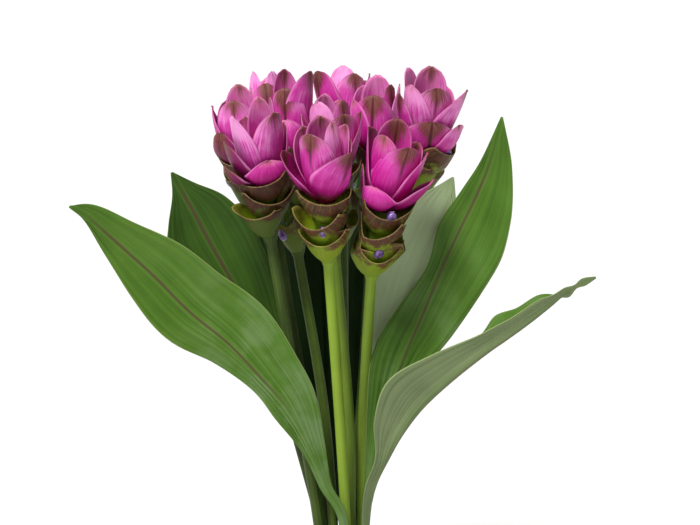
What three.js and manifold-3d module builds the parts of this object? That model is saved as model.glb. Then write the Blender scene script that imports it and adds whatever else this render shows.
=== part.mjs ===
// Potted siam tulip (Curcuma alismatifolia): ten flower heads and seven leaves in a plain clay pot.
// Millimetres, +Z up. The origin is the middle of the pot's flat underside, and -Y is the front.

import * as THREE from 'three';
import Module from 'manifold-3d';

const wasm = await Module();
wasm.setup();

// Pot and soil
const POT_HEIGHT = 120;
const POT_RIM_RADIUS = 69;
const POT_RIM_DEPTH = 22;
const POT_RIM_STEP = 3.5;
const POT_FOOT_RADIUS = 46;
const POT_WALL = 5;
const POT_FLOOR = 7;
const POT_SIDES = 24;
const DRAIN_RADIUS = 5;
const DRAIN_RING_RADIUS = 27;
const DRAIN_COUNT = 3;
const DRAIN_SIDES = 8;
const SOIL_TOP = 106;
const SOIL_SIDES = 12;
const SOIL_MOUND = 3;
const SOIL_FLAT = 0.75;

// Clearance between pieces that touch
const GAP = 0.3;

// Stems
const STEM_RADIUS = 3.9;
const STEM_SIDES = 6;
const STEM_STEPS = 4;
const STEM_FOOT_Z = 91;
const STEM_UPRIGHT_Z = 150;
const STEM_LEAD = 14;
const STEM_BASE_SHARE = 0.75;
const STEM_END_SHARE = 0.74;
const STEM_LOOK = 0.02;
const HOLE_END_SHARE = 0.12;
const HOLE_TOP_Z = 114;
const HOLE_SIDES = 6;

// Bract shells. ALONG runs from a bract's foot to its tip, ACROSS from its left edge to its right.
const BRACT_HALF_THICKNESS = 0.5;
const CORE_SIDES = 6;

// Pink bracts. The lower a bract's tip, the wider it bellies out and the lower it starts.
const COMA_ACROSS = [-1, -0.42, 0.42, 1];
const COMA_ALONG = [0, 0.35, 0.72, 1];
const NARROW_ACROSS = [-1, 0, 1];
const NARROW_ALONG = [0, 0.45, 1];
const NARROW_BRACT = 17.5;
const COMA_FULLNESS = 1.1;
const COMA_ROOT = 6;
const COMA_BELLY = { most: 30, fall: 0.27, least: 12.5 };
const COMA_FOOT = { rise: 0.12, drop: 3, least: 1 };
const COMA_BULGE = 3.5;
const COMA_LOW = { reach: 0.95, rise: 0.1 };
const COMA_HIGH = { reach: 0.4, rise: 0.62 };
const COMA_WIDEST = 0.52;
const COMA_FOOT_WIDTH = 0.2;
const COMA_TIP_WIDTH = 0.08;
const COMA_TIP_POWER = 0.52;
const COMA_LEAST_BEND = [6, 15];
const COMA_INSET = { belly: 24, share: 0.28 };
const COMA_CORE = [[GAP, 11.5], [18, 12.5]];
const COMA_CORE_TOP = [-26, 8];

// Green cups. A pair of values is for the lowest cups and for the collar under the pink part.
const CUP_ACROSS = [-1, -0.4, 0.4, 1];
const CUP_ALONG = [0, 0.5, 1];
const SMALL_CUP = 0.85;
const COLLAR_DEPTH = 16;
const CUP_ROOT = [3, 6];
const CUP_LEAST_BEND = [6, 6];
const CUP_BELLY = [15, 20];
const CUP_LOWER_BELLY = 0.85;
const CUP_LIP = [6, 3];
const CUP_RISE = [4, 14, 22];
const CUP_HALF_WIDTH = [27, 34];
const CUP_WIDEST = 0.62;
const CUP_FOOT_WIDTH = 0.3;
const CUP_TIP_LOSS = 0.25;
const CUP_TIP_POWER = 5;
const CUP_INSET = 0.5;
const CUP_DIP = { usual: 5, start: 0.2, edge: 1.5, middle: 0.55 };
const CUP_FLARE = { usual: 2.5, start: 0.55, from: 0.35 };
const CUP_CORE = [[2, 8], [12, 12]];
const CUP_CORE_TOP = [[-6, 13], [0, 12]];

// Crowding: how a head gives way to its neighbours
const STEM_REACH = 5.5;
const HEAD_REACH = 27;
const HEAD_SWELL = 18;
const CROWN_REACH = 17;
const CROWN_DEPTH = 30;
const CROWN_END = 15;
const CROWD_ROUNDS = 3;
const CROWD_MARGIN = 1.1;
const CROWD_SOFTNESS = 5;

// Leaves
const BLADE_HALF_THICKNESS = 0.4;
const RIB_HALF_THICKNESS = 3;
const RIB_HALF_WIDTH = 6;
const RIB_FADE = [0.3, 0.9];
const BLADE_START = [5, 14];
const LEFT_WAVE_LAG = 1.2;
const LEAF_STEPS = 1.25;
const LEAF_LOOK = 0.01;
const TIP_TWIST = [0.73, 0.86];
const LEAF_ACROSS = [-1, -0.5, 0, 0.5, 1];
const PETIOLE_HOLE_RADIUS = 4.6;

// Heads. base is the top of the bare stem and crown the middle of the head's top; coma is the length
// of the pink part; soil is where the stem leaves the soil, and bend a point that it passes on its way.
// Each green cup, lowest first, is [turn from the front, its foot's height above base, size, how far its
// rim dips, how far its corners flare]. Each pink bract is [turn, tip's reach from the axis, tip's height,
// half width, how far its tip leans].
const HEADS = {
  A: {
    base: [-8, -50, 377], crown: [-12, -66, 482], coma: 60, soil: [5, -13], bend: [0, -30, 250],
    cups: [[95, 3, 0.95, 3], [-12, 0, 1], [-28, 13, 1, 6], [150, 18, 0.8], [4, 31, 1, 4, 3.5]],
    bracts: [
      [-88, 32, 40, 14], [30, 27, 42, 22, 9], [125, 20, 53, 17], [-135, 22, 52, 16], [85, 30, 46, 16],
      [-34, 15, 54, 20], [-170, 9, 61, 16], [55, 8, 60, 12],
    ],
  },
  B: {
    base: [23, -44, 365], crown: [41, -62, 483], coma: 69, soil: [17, 0], bend: [17, -5, 235],
    cups: [
      [-85, 0, 1, 3], [2, 1, 1, 9], [90, 5, 1], [-20, 18, 1.1, 7, 4], [180, 22, 1], [8, 34, 1, 7],
    ],
    bracts: [
      [72, 33, 31, 17], [-28, 20, 22, 19], [-95, 24, 30, 15], [17, 16, 53, 22, 6], [125, 22, 50, 16],
      [-120, 21, 57, 17], [78, 25, 49, 16], [-38, 12, 58, 17], [172, 10, 66, 19],
    ],
  },
  C: {
    base: [-51, -22, 387], crown: [-60, -34, 487], coma: 60, soil: [-15, -14], bend: [-31, -19, 260],
    cups: [[-30, 3, 1.05, 3, 4], [20, 14, 1, 4], [160, 12, 0.8], [-10, 28, 1, 3]],
    bracts: [
      [20, 19, 25, 19], [-65, 28, 21, 15], [-72, 26, 39, 18], [110, 20, 46, 14], [-150, 20, 50, 15],
      [48, 17, 58, 19], [-56, 20, 58, 15], [165, 8, 66, 12],
    ],
  },
  D: {
    base: [-32, 14, 370], crown: [-38, 34, 502], coma: 65, soil: [-5, -5], bend: [-13, 4, 255],
    cups: [[-40, 0, 0.8], [100, 10, 0.8], [-120, 22, 0.8], [20, 36, 0.8], [-60, 52, 0.8]],
    bracts: [
      [-10, 22, 32, 16], [100, 23, 50, 15], [-90, 20, 50, 15], [165, 20, 56, 16], [-15, 15, 56, 18],
      [66, 17, 68, 21], [-150, 8, 71, 14],
    ],
  },
  E: {
    base: [-68, 16, 402], crown: [-77, 24, 494], coma: 60, soil: [-14, 4], bend: [-41, 9, 260],
    cups: [[75, 0, 0.6], [-60, 5, 0.62], [-150, 10, 0.6], [-20, 17, 0.75]],
    bracts: [
      [-50, 20, 29, 15], [-92, 20, 49, 13], [60, 18, 45, 13], [150, 20, 50, 15], [-10, 17, 52, 18],
      [-145, 16, 52, 14], [100, 11, 60, 12], [170, 5, 63, 15],
    ],
  },
  F: {
    base: [-50, 50, 385], crown: [-60, 84, 500], coma: 60, soil: [-8, 13], bend: [-27, 28, 250],
    cups: [[160, 4, 0.8], [-75, 22, 0.8], [20, 42, 0.8]],
    bracts: [
      [180, 22, 46, 16], [-115, 21, 48, 15], [115, 20, 50, 15], [5, 15, 48, 14], [-60, 9, 60, 13],
      [60, 8, 59, 14], [165, 10, 57, 14],
    ],
  },
  I: {
    base: [2, 46, 386], crown: [4, 76, 504], coma: 62, soil: [3, 16], bend: [3, 28, 250],
    cups: [[120, 4, 0.8], [-150, 22, 0.8], [15, 42, 0.8]],
    bracts: [
      [175, 22, 48, 16], [-70, 27, 57, 21, 4], [92, 19, 58, 13], [-135, 20, 52, 15], [130, 19, 54, 14],
      [30, 15, 56, 18], [-20, 6, 63, 16],
    ],
  },
  J: {
    base: [-4, -8, 376], crown: [-6, -14, 493], coma: 60, soil: [8, -5], bend: [7, -8, 245],
    cups: [[60, 2, 0.8], [-100, 21, 0.8], [30, 41, 0.8]],
    bracts: [
      [-95, 22, 46, 14], [95, 22, 48, 15], [32, 17, 49, 18], [-35, 15, 58, 15], [160, 18, 54, 14],
      [45, 11, 58, 13], [-150, 11, 60, 13],
    ],
  },
  K: {
    base: [24, 14, 387], crown: [28, 26, 502], coma: 60, soil: [9, 9], bend: [16, 11, 250],
    cups: [[-120, 2, 0.8], [130, 21, 0.8], [0, 40, 0.8]],
    bracts: [
      [150, 20, 48, 14], [-72, 18, 43, 18], [-10, 16, 47, 19], [90, 17, 56, 13], [-150, 18, 54, 14],
      [60, 11, 55, 13], [175, 5, 62, 15],
    ],
  },
  M: {
    base: [58.5, 0, 413.5], crown: [68, -10, 512.5], coma: 67, soil: [16, 20], bend: [36, 18, 260],
    cups: [[100, 0, 0.6], [-40, 3, 0.6], [10, 9, 0.7], [70, 19, 1, 3, 4]],
    bracts: [
      [5, 24, 33, 21], [60, 26, 30, 15], [-72, 24, 48, 14], [150, 21, 52, 15], [76, 27, 55, 22],
      [-50, 19, 56, 16], [14, 15, 56, 20], [-120, 20, 64, 13], [-175, 8, 67, 18],
    ],
  },
};

// Leaves. Each spine row is [x, y, z, left half width, right half width], from the soil to the tip,
// and facing is the way that the upper side looks.
const LEAVES = {
  leaf_front_left: {
    spine: [
      [4, -24, 91, 3.4, 3.4], [3, -27, 168, 3.6, 3.6], [-11, -29, 200, 4.5, 5], [-23, -32, 230, 6, 13],
      [-39, -35, 262, 12, 24], [-57, -37, 285, 11, 31], [-82, -39, 313, 18, 38], [-110, -42, 338, 26, 36],
      [-135, -44, 365, 23, 31], [-160, -48, 390, 13, 20], [-180, -53, 410, 4, 11], [-193, -57, 419, 0.8, 0.8],
    ],
    facing: [0.15, -1, 0.25], fold: 8, wave: 1.6, waves: 3,
  },
  leaf_back_left: {
    spine: [
      [-14, -6, 91, 3.4, 3.4], [-15, -7, 165, 3.4, 3.4], [-28, -7, 238, 6, 6], [-42, -7, 277, 16, 11],
      [-59, -6, 311, 28, 20], [-79, -6, 350, 35, 31], [-97, -6, 383, 34, 34], [-108, -7, 405, 22, 27],
      [-117, -8, 422, 8, 12], [-124, -10, 436, 0.8, 0.8],
    ],
    facing: [0, -1, 0.1], fold: 5, wave: 1.2, waves: 2,
  },
  leaf_right: {
    spine: [
      [20, -9, 91, 3.4, 3.4], [19, -10, 160, 3.4, 3.4], [24, -15, 208, 5, 5], [33, -21, 252, 13, 9],
      [46, -25, 294, 23, 17], [60, -26, 328, 20, 27], [74, -27, 364, 11, 35], [87, -27, 394, 15.5, 38],
      [99, -28, 420, 12, 31], [109, -29, 446, 7, 18], [117, -32, 480, 0.8, 0.8],
    ],
    facing: [-0.25, -1, 0.1], fold: 10, wave: 1.8, waves: 3,
  },
  leaf_right_front: {
    spine: [
      [20, -17, 91, 3.4, 3.4], [18.5, -18, 160, 3.4, 3.6], [24, -29, 198, 7, 8], [34.5, -39, 226, 12, 10],
      [46, -48, 250, 22, 25], [61, -52, 271, 21, 35], [82, -55, 292, 21, 26], [106, -57, 312, 17, 17],
      [121, -57.5, 322.5, 24, 16], [136, -58, 333.5, 16, 13], [151, -58.5, 345.5, 14, 10], [161, -59.5, 354.5, 7, 7],
      [169, -60, 360.5, 1.8, 1.8], [175.5, -60.5, 364.5, 3, 3], [184, -61, 368, 0.8, 0.8],
    ],
    facing: [-0.5, 0.25, 0.8], fold: 52, wave: 1.5, waves: 3, twist: -70,
  },
  leaf_back_right: {
    spine: [
      [18, 9, 91, 3.4, 3.4], [20, 7, 165, 3.6, 3.6], [28, 3, 236, 8, 8], [37, -7, 296, 20, 22],
      [51, -14, 345, 26, 30], [67, -19, 387, 22, 27], [78, -20, 414, 8, 20], [83, -19, 434, 0.8, 0.8],
    ],
    facing: [0.2, 1, 0.1], fold: 8, wave: 1.5, waves: 2,
  },
  leaf_back_outer: {
    spine: [
      [-13, 22, 91, 3.4, 3.4], [-15, 29, 165, 3.6, 3.6], [-25, 44, 230, 15, 15], [-40, 66, 298, 27, 27],
      [-50, 95, 350, 30, 31], [-60, 122, 380, 20, 20], [-66, 140, 394, 9, 9], [-70, 156, 402, 0.8, 0.8],
    ],
    facing: [0.35, -0.8, 0.5], fold: 14, wave: 1.8, waves: 2,
  },
  leaf_back: {
    spine: [
      [2, 26, 91, 3.4, 3.4], [2, 35, 160, 4, 4], [2, 49, 220, 16, 16], [3, 72, 285, 29, 27],
      [5, 104, 345, 34, 31], [9, 138, 386, 25, 25], [12, 162, 406, 13, 13], [14, 182, 418, 0.8, 0.8],
    ],
    facing: [-0.2, -0.8, 0.6], fold: 14, wave: 1.8, waves: 2,
  },
};

// Florets: [head, turn from the front, height above the head's base, reach from its axis]
const FLORETS = {
  floret_a: ['A', -6, 29, 17],
  floret_b_upper: ['B', 16, 54, 20],
  floret_b_lower: ['B', 4, 24, 15.5],
  floret_d: ['D', -42, 15, 15],
  floret_e: ['E', -120, 23, 15],
  floret_f: ['F', -165, 30, 13.5],
  floret_i: ['I', 160, 32, 16],
  floret_k: ['K', 120, 30, 15],
  floret_m: ['M', 62, 40, 17.5],
};
const FLORET_RADIUS = 3.4;
const FLORET_HALF_LENGTH = 4.6;
const FLORET_LOBES = 3;
const FLORET_LOBE_DEPTH = 0.2;
const FLORET_END = 0.3;
const FLORET_SIDES = 6;
const FLORET_RINGS = 3;
const FLORET_LEAN = 35;

// Colours
const CLAY = { color: 0xb06a48, roughness: 0.85 };
const SOIL = { color: 0x3a2a20, roughness: 1 };
const PINK = { color: 0xc84fb0, roughness: 0.5 };
const POUCH_GREEN = { color: 0x86992f, roughness: 0.55 };
const LEAF_GREEN = { color: 0x4d7f30, roughness: 0.45 };
const VIOLET = { color: 0x6b4a9c, roughness: 0.5 };

const radians = THREE.MathUtils.degToRad;
const mix = THREE.MathUtils.lerp;
const clamp = THREE.MathUtils.clamp;
const smoothstep = THREE.MathUtils.smoothstep;

function vector(list) {
  return new THREE.Vector3(list[0], list[1], list[2]);
}

// A smooth curve through rows of numbers, at t from 0 to 1
function along(rows, t) {
  const place = clamp(t, 0, 1) * (rows.length - 1);
  const i = Math.min(Math.floor(place), rows.length - 2);
  const f = place - i;
  const here = rows[i];
  const next = rows[i + 1];
  return here.map((value, k) => {
    const before = i > 0 ? rows[i - 1][k] : 2 * value - next[k];
    const after = i + 2 < rows.length ? rows[i + 2][k] : 2 * next[k] - value;
    const slopeIn = (next[k] - before) / 2;
    const slopeOut = (after - value) / 2;
    const rise = next[k] - value;
    const square = 3 * rise - 2 * slopeIn - slopeOut;
    const cube = slopeIn + slopeOut - 2 * rise;
    return value + f * (slopeIn + f * (square + f * cube));
  });
}

// Closed meshes
function signedVolume(points, faces) {
  return faces.reduce((sum, [a, b, c]) => {
    const cross = new THREE.Vector3().crossVectors(points[b], points[c]);
    return sum + points[a].dot(cross) / 6;
  }, 0);
}

function solidOf(points, faces) {
  const outward = signedVolume(points, faces) > 0;
  const vertProperties = new Float32Array(points.flatMap((p) => [p.x, p.y, p.z]));
  const triVerts = new Uint32Array(faces.flatMap(([a, b, c]) => (outward ? [a, b, c] : [a, c, b])));
  return new wasm.Manifold(new wasm.Mesh({ numProp: 3, vertProperties, triVerts }));
}

// A closed tube through rings that have the same number of points each
function loft(rings) {
  const count = rings[0].length;
  const points = rings.flat();
  const faces = [];
  for (let r = 0; r + 1 < rings.length; r += 1) {
    for (let k = 0; k < count; k += 1) {
      const next = (k + 1) % count;
      const a = r * count + k;
      const b = r * count + next;
      faces.push([a, b, b + count], [a, b + count, a + count]);
    }
  }
  const last = (rings.length - 1) * count;
  for (let k = 1; k + 1 < count; k += 1) {
    faces.push([0, k + 1, k], [last, last + k, last + k + 1]);
  }
  return solidOf(points, faces);
}

function ring(centre, axis, across, radius, sides, shape = () => 1) {
  const side = new THREE.Vector3().crossVectors(axis, across).normalize();
  const front = new THREE.Vector3().crossVectors(side, axis).normalize();
  return Array.from({ length: sides }, (_, k) => {
    const angle = (2 * Math.PI * k) / sides;
    const reach = radius * shape(angle);
    return centre.clone()
      .addScaledVector(front, Math.cos(angle) * reach)
      .addScaledVector(side, Math.sin(angle) * reach);
  });
}

// A thin closed sheet on both sides of a grid of points, split into triangles alike on both faces
function sheet(grid, halfThickness) {
  const rows = grid.length;
  const columns = grid[0].length;
  const upper = [];
  const lower = [];
  for (let i = 0; i < rows; i += 1) {
    for (let j = 0; j < columns; j += 1) {
      const lengthwise = grid[Math.min(i + 1, rows - 1)][j].clone().sub(grid[Math.max(i - 1, 0)][j]);
      const crosswise = grid[i][Math.min(j + 1, columns - 1)].clone().sub(grid[i][Math.max(j - 1, 0)]);
      const normal = lengthwise.cross(crosswise).normalize();
      const half = halfThickness(i, j);
      upper.push(grid[i][j].clone().addScaledVector(normal, half));
      lower.push(grid[i][j].clone().addScaledVector(normal, -half));
    }
  }
  const shift = rows * columns;
  const faces = [];
  const quad = (a, b, c, d) => faces.push([a, b, c], [a, c, d]);
  const at = (i, j) => i * columns + j;
  for (let i = 0; i + 1 < rows; i += 1) {
    for (let j = 0; j + 1 < columns; j += 1) {
      const [a, b, c, d] = [at(i, j), at(i, j + 1), at(i + 1, j + 1), at(i + 1, j)];
      faces.push([a, b, c], [a, c, d]);
      faces.push([a + shift, c + shift, b + shift], [a + shift, d + shift, c + shift]);
    }
    const [start, above] = [at(i, 0), at(i + 1, 0)];
    const [end, aboveEnd] = [at(i, columns - 1), at(i + 1, columns - 1)];
    quad(start, above, above + shift, start + shift);
    quad(end + shift, aboveEnd + shift, aboveEnd, end);
  }
  for (let j = 0; j + 1 < columns; j += 1) {
    const [foot, footNext] = [at(0, j), at(0, j + 1)];
    const [tip, tipNext] = [at(rows - 1, j), at(rows - 1, j + 1)];
    quad(foot + shift, footNext + shift, footNext, foot);
    quad(tip, tipNext, tipNext + shift, tip + shift);
  }
  return solidOf(upper.concat(lower), faces);
}

function join(solids) {
  return solids.reduce((sum, solid) => sum.add(solid));
}

// The largest body of a solid, without loose scraps
function whole(solid) {
  return solid.decompose().reduce((best, body) => (body.volume() > best.volume() ? body : best));
}

function mesh(name, solid, finish) {
  const { vertProperties, triVerts } = solid.getMesh();
  const geometry = new THREE.BufferGeometry();
  geometry.setAttribute('position', new THREE.BufferAttribute(new Float32Array(vertProperties), 3));
  geometry.setIndex(new THREE.BufferAttribute(new Uint32Array(triVerts), 1));
  geometry.computeVertexNormals();
  const material = new THREE.MeshStandardMaterial({ ...finish, metalness: 0 });
  const made = new THREE.Mesh(geometry, material);
  made.name = name;
  return made;
}

// A head's own frame: up its axis, right and back across it
function frameOf(head) {
  const base = vector(head.base);
  const axis = vector(head.crown).sub(base);
  const length = axis.length();
  const up = axis.clone().normalize();
  const right = new THREE.Vector3(1, 0, 0).addScaledVector(up, -up.x).normalize();
  const back = new THREE.Vector3().crossVectors(up, right);
  return { base, up, right, back, length, pouch: length - head.coma };
}

function outwardAt(frame, turn) {
  const angle = radians(turn);
  return frame.right.clone().multiplyScalar(Math.sin(angle)).addScaledVector(frame.back, -Math.cos(angle));
}

function stemRows(head, frame) {
  const lead = frame.base.clone().addScaledVector(frame.up, STEM_LEAD);
  const foot = [...head.soil, STEM_FOOT_Z];
  return [foot, [...head.soil, STEM_UPRIGHT_Z], head.bend, head.base, lead.toArray()];
}

// The middle of a head or of its stem at a height, and how far it reaches there
function stationAt(head, z) {
  const base = vector(head.base);
  const crown = vector(head.crown);
  const height = z - base.z;
  if (height < 0) {
    const rows = stemRows(head, frameOf(head));
    let low = 0;
    let high = STEM_BASE_SHARE;
    for (let n = 0; n < 16; n += 1) {
      const middle = (low + high) / 2;
      if (along(rows, middle)[2] < z) low = middle;
      else high = middle;
    }
    const [x, y] = along(rows, low);
    return { x, y, reach: STEM_REACH };
  }
  const total = crown.z - base.z;
  const share = Math.min(height / total, 1);
  const { x, y } = base.clone().lerp(crown, share);
  const swell = mix(STEM_REACH, HEAD_REACH, Math.min(height / HEAD_SWELL, 1));
  const top = clamp((height - total + CROWN_DEPTH) / CROWN_DEPTH, 0, 1);
  const narrow = mix(HEAD_REACH, CROWN_REACH, top);
  const ending = clamp(1 - (height - total) / CROWN_END, 0, 1);
  return { x, y, reach: Math.min(swell, narrow) * ending };
}

// Moves a point of a head back inside the room that its neighbours leave it
function crowd(name, point, inset) {
  const own = stationAt(HEADS[name], point.z);
  for (let round = 0; round < CROWD_ROUNDS; round += 1) {
    for (const other of Object.keys(HEADS)) {
      if (other === name) continue;
      const theirs = stationAt(HEADS[other], point.z);
      if (theirs.reach <= 0) continue;
      const apart = Math.hypot(theirs.x - own.x, theirs.y - own.y);
      const [nx, ny] = [(theirs.x - own.x) / apart, (theirs.y - own.y) / apart];
      const share = own.reach / (own.reach + theirs.reach);
      const limit = apart * share - CROWD_MARGIN - inset;
      const start = limit - CROWD_SOFTNESS;
      const reach = (point.x - own.x) * nx + (point.y - own.y) * ny;
      if (reach <= start) continue;
      const allowed = start + CROWD_SOFTNESS * (1 - Math.exp((start - reach) / CROWD_SOFTNESS));
      point.x += (allowed - reach) * nx;
      point.y += (allowed - reach) * ny;
    }
  }
  return point;
}

function bezier([a, b, c, d], t) {
  const s = 1 - t;
  return s * s * s * a + 3 * s * s * t * b + 3 * s * t * t * c + t * t * t * d;
}

function bezierSlope([a, b, c, d], t) {
  const s = 1 - t;
  return 3 * (s * s * (b - a) + 2 * s * t * (c - b) + t * t * (d - c));
}

// The grid of a bract that grows from the axis, along a profile of (reach, height)
function bractGrid(name, frame, bract) {
  const { turn, reach, height, width, across, steps, inset, leastBend, lean, dip, flare } = bract;
  const out = outwardAt(frame, turn);
  const side = new THREE.Vector3().crossVectors(out, frame.up).normalize();
  return steps.map((t) => {
    const r = bezier(reach, t);
    const centre = frame.base.clone()
      .addScaledVector(frame.up, bezier(height, t))
      .addScaledVector(out, r)
      .addScaledVector(side, -lean * t * t);
    const dr = bezierSlope(reach, t);
    const dh = bezierSlope(height, t);
    const scale = Math.hypot(dr, dh);
    const normal = out.clone().multiplyScalar(dh / scale).addScaledVector(frame.up, -dr / scale);
    const bend = Math.max(r, mix(...leastBend, t));
    const dipping = dip * smoothstep(t, CUP_DIP.start, 1);
    const flaring = flare * smoothstep(t, CUP_FLARE.start, 1);
    return across.map((u) => {
      const angle = (u * width(t)) / bend;
      const rise = dipping * (CUP_DIP.edge * u * u - CUP_DIP.middle);
      const lift = flaring * smoothstep(Math.abs(u), CUP_FLARE.from, 1);
      const point = centre.clone()
        .addScaledVector(side, bend * Math.sin(angle))
        .addScaledVector(normal, lift - bend * (1 - Math.cos(angle)))
        .addScaledVector(frame.up, rise);
      return crowd(name, point, inset);
    });
  });
}

// Half width of a pink bract along its length: widest past the middle, then a short point
function comaWidth(half) {
  return (t) => {
    const swell = Math.sin((Math.PI / 2) * Math.min(1, t / COMA_WIDEST));
    const past = Math.max(0, (t - COMA_WIDEST) / (1 - COMA_WIDEST));
    const narrowing = Math.pow(1 - past * past, COMA_TIP_POWER);
    return half * Math.max(mix(COMA_FOOT_WIDTH, 1, swell) * narrowing, COMA_TIP_WIDTH);
  };
}

// Half width of a cup: broad and blunt
function cupWidth(half) {
  return (t) => {
    const swell = Math.sin((Math.PI / 2) * Math.min(1, t / CUP_WIDEST));
    return half * mix(CUP_FOOT_WIDTH, 1, swell) * (1 - CUP_TIP_LOSS * Math.pow(t, CUP_TIP_POWER));
  };
}

function comaBract(frame, [turn, tipReach, tipHeight, halfWidth, lean = 0], extra) {
  const belly = Math.max(COMA_BELLY.most - COMA_BELLY.fall * tipHeight, COMA_BELLY.least);
  const foot = Math.max(COMA_FOOT.rise * tipHeight - COMA_FOOT.drop, COMA_FOOT.least);
  const rise = tipHeight - foot;
  const start = frame.pouch + foot;
  return {
    turn,
    reach: [COMA_ROOT, belly * COMA_LOW.reach, mix(belly, tipReach, COMA_HIGH.reach) + COMA_BULGE, tipReach],
    height: [start, start + COMA_LOW.rise * rise, start + COMA_HIGH.rise * rise, start + rise],
    width: comaWidth(halfWidth * COMA_FULLNESS + extra),
    across: halfWidth > NARROW_BRACT ? COMA_ACROSS : NARROW_ACROSS,
    steps: halfWidth > NARROW_BRACT ? COMA_ALONG : NARROW_ALONG,
    inset: (COMA_INSET.belly - belly) * COMA_INSET.share,
    leastBend: COMA_LEAST_BEND,
    lean,
    dip: 0,
    flare: 0,
  };
}

// The pink part: bracts set round a core that they stand out of, grown on all sides by extra
function comaSolid(name, head, extra = 0) {
  const frame = frameOf(head);
  const [[foot, footRadius], ...middle] = COMA_CORE;
  const profile = [[foot - extra, footRadius], ...middle, [head.coma + COMA_CORE_TOP[0], COMA_CORE_TOP[1]]];
  const rings = profile.map(([height, radius]) => {
    const centre = frame.base.clone().addScaledVector(frame.up, frame.pouch + height);
    return ring(centre, frame.up, frame.right, radius + extra, CORE_SIDES);
  });
  const shells = head.bracts.map((bract) => {
    const grid = bractGrid(name, frame, comaBract(frame, bract, extra));
    return sheet(grid, () => BRACT_HALF_THICKNESS + extra);
  });
  return whole(join([loft(rings), ...shells]));
}

// A cup of a head: the higher ones are wider and steeper. Its rim dips in the middle, and its upper
// corners flare outward.
function cupBract(frame, [turn, foot, size, dip = CUP_DIP.usual, flare = CUP_FLARE.usual]) {
  const share = clamp(foot / (frame.pouch - COLLAR_DEPTH), 0, 1);
  const belly = mix(...CUP_BELLY, share) * size;
  const root = mix(...CUP_ROOT, Math.min(2 * share, 1));
  return {
    turn,
    reach: [root, belly * CUP_LOWER_BELLY, belly, belly + mix(...CUP_LIP, share)],
    height: [foot, ...CUP_RISE.map((rise) => foot + rise)],
    width: cupWidth(mix(...CUP_HALF_WIDTH, share) * size),
    across: size > SMALL_CUP ? CUP_ACROSS : NARROW_ACROSS,
    steps: CUP_ALONG,
    inset: CUP_INSET,
    leastBend: CUP_LEAST_BEND,
    lean: 0,
    dip,
    flare,
  };
}

// Rings along a stem between two shares of its curve
function stemRings(head, frame, radius, sides, from, to, steps) {
  const rows = stemRows(head, frame);
  return Array.from({ length: steps + 1 }, (_, n) => {
    const t = mix(from, to, n / steps);
    const here = vector(along(rows, t));
    const behind = vector(along(rows, t - STEM_LOOK));
    const ahead = vector(along(rows, t + STEM_LOOK)).sub(behind).normalize();
    return ring(here, ahead, frame.right, radius, sides);
  });
}

// The stem with its green cups
function stemSolid(name, head) {
  const frame = frameOf(head);
  const rings = stemRings(head, frame, STEM_RADIUS, STEM_SIDES, 0, STEM_END_SHARE, STEM_STEPS);
  const shoulder = CUP_CORE_TOP.map(([height, radius]) => [frame.pouch + height, radius]);
  const swelling = [...CUP_CORE, ...shoulder];
  swelling.forEach(([height, radius]) => {
    const centre = frame.base.clone().addScaledVector(frame.up, height);
    rings.push(ring(centre, frame.up, frame.right, radius, STEM_SIDES));
  });
  const shells = head.cups.map((cup) => {
    const grid = bractGrid(name, frame, cupBract(frame, cup));
    return sheet(grid, () => BRACT_HALF_THICKNESS);
  });
  return join([loft(rings), ...shells]);
}

// A floret: a small three-lobed bud that leans out of its pouch
function floretSolid([name, turn, height, reach], extra = 0) {
  const frame = frameOf(HEADS[name]);
  const out = outwardAt(frame, turn);
  const lean = radians(FLORET_LEAN);
  const axis = frame.up.clone().multiplyScalar(Math.cos(lean)).addScaledVector(out, Math.sin(lean));
  const centre = frame.base.clone().addScaledVector(frame.up, height).addScaledVector(out, reach);
  const lobed = (angle) => 1 + FLORET_LOBE_DEPTH * Math.cos(FLORET_LOBES * angle);
  const rings = Array.from({ length: FLORET_RINGS + 1 }, (_, n) => {
    const share = mix(-1, 1, n / FLORET_RINGS);
    const radius = (FLORET_RADIUS + extra) * Math.max(Math.sqrt(1 - share * share), FLORET_END);
    const place = centre.clone().addScaledVector(axis, share * (FLORET_HALF_LENGTH + extra));
    return ring(place, axis, frame.right, radius, FLORET_SIDES, lobed);
  });
  return loft(rings);
}

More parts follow.
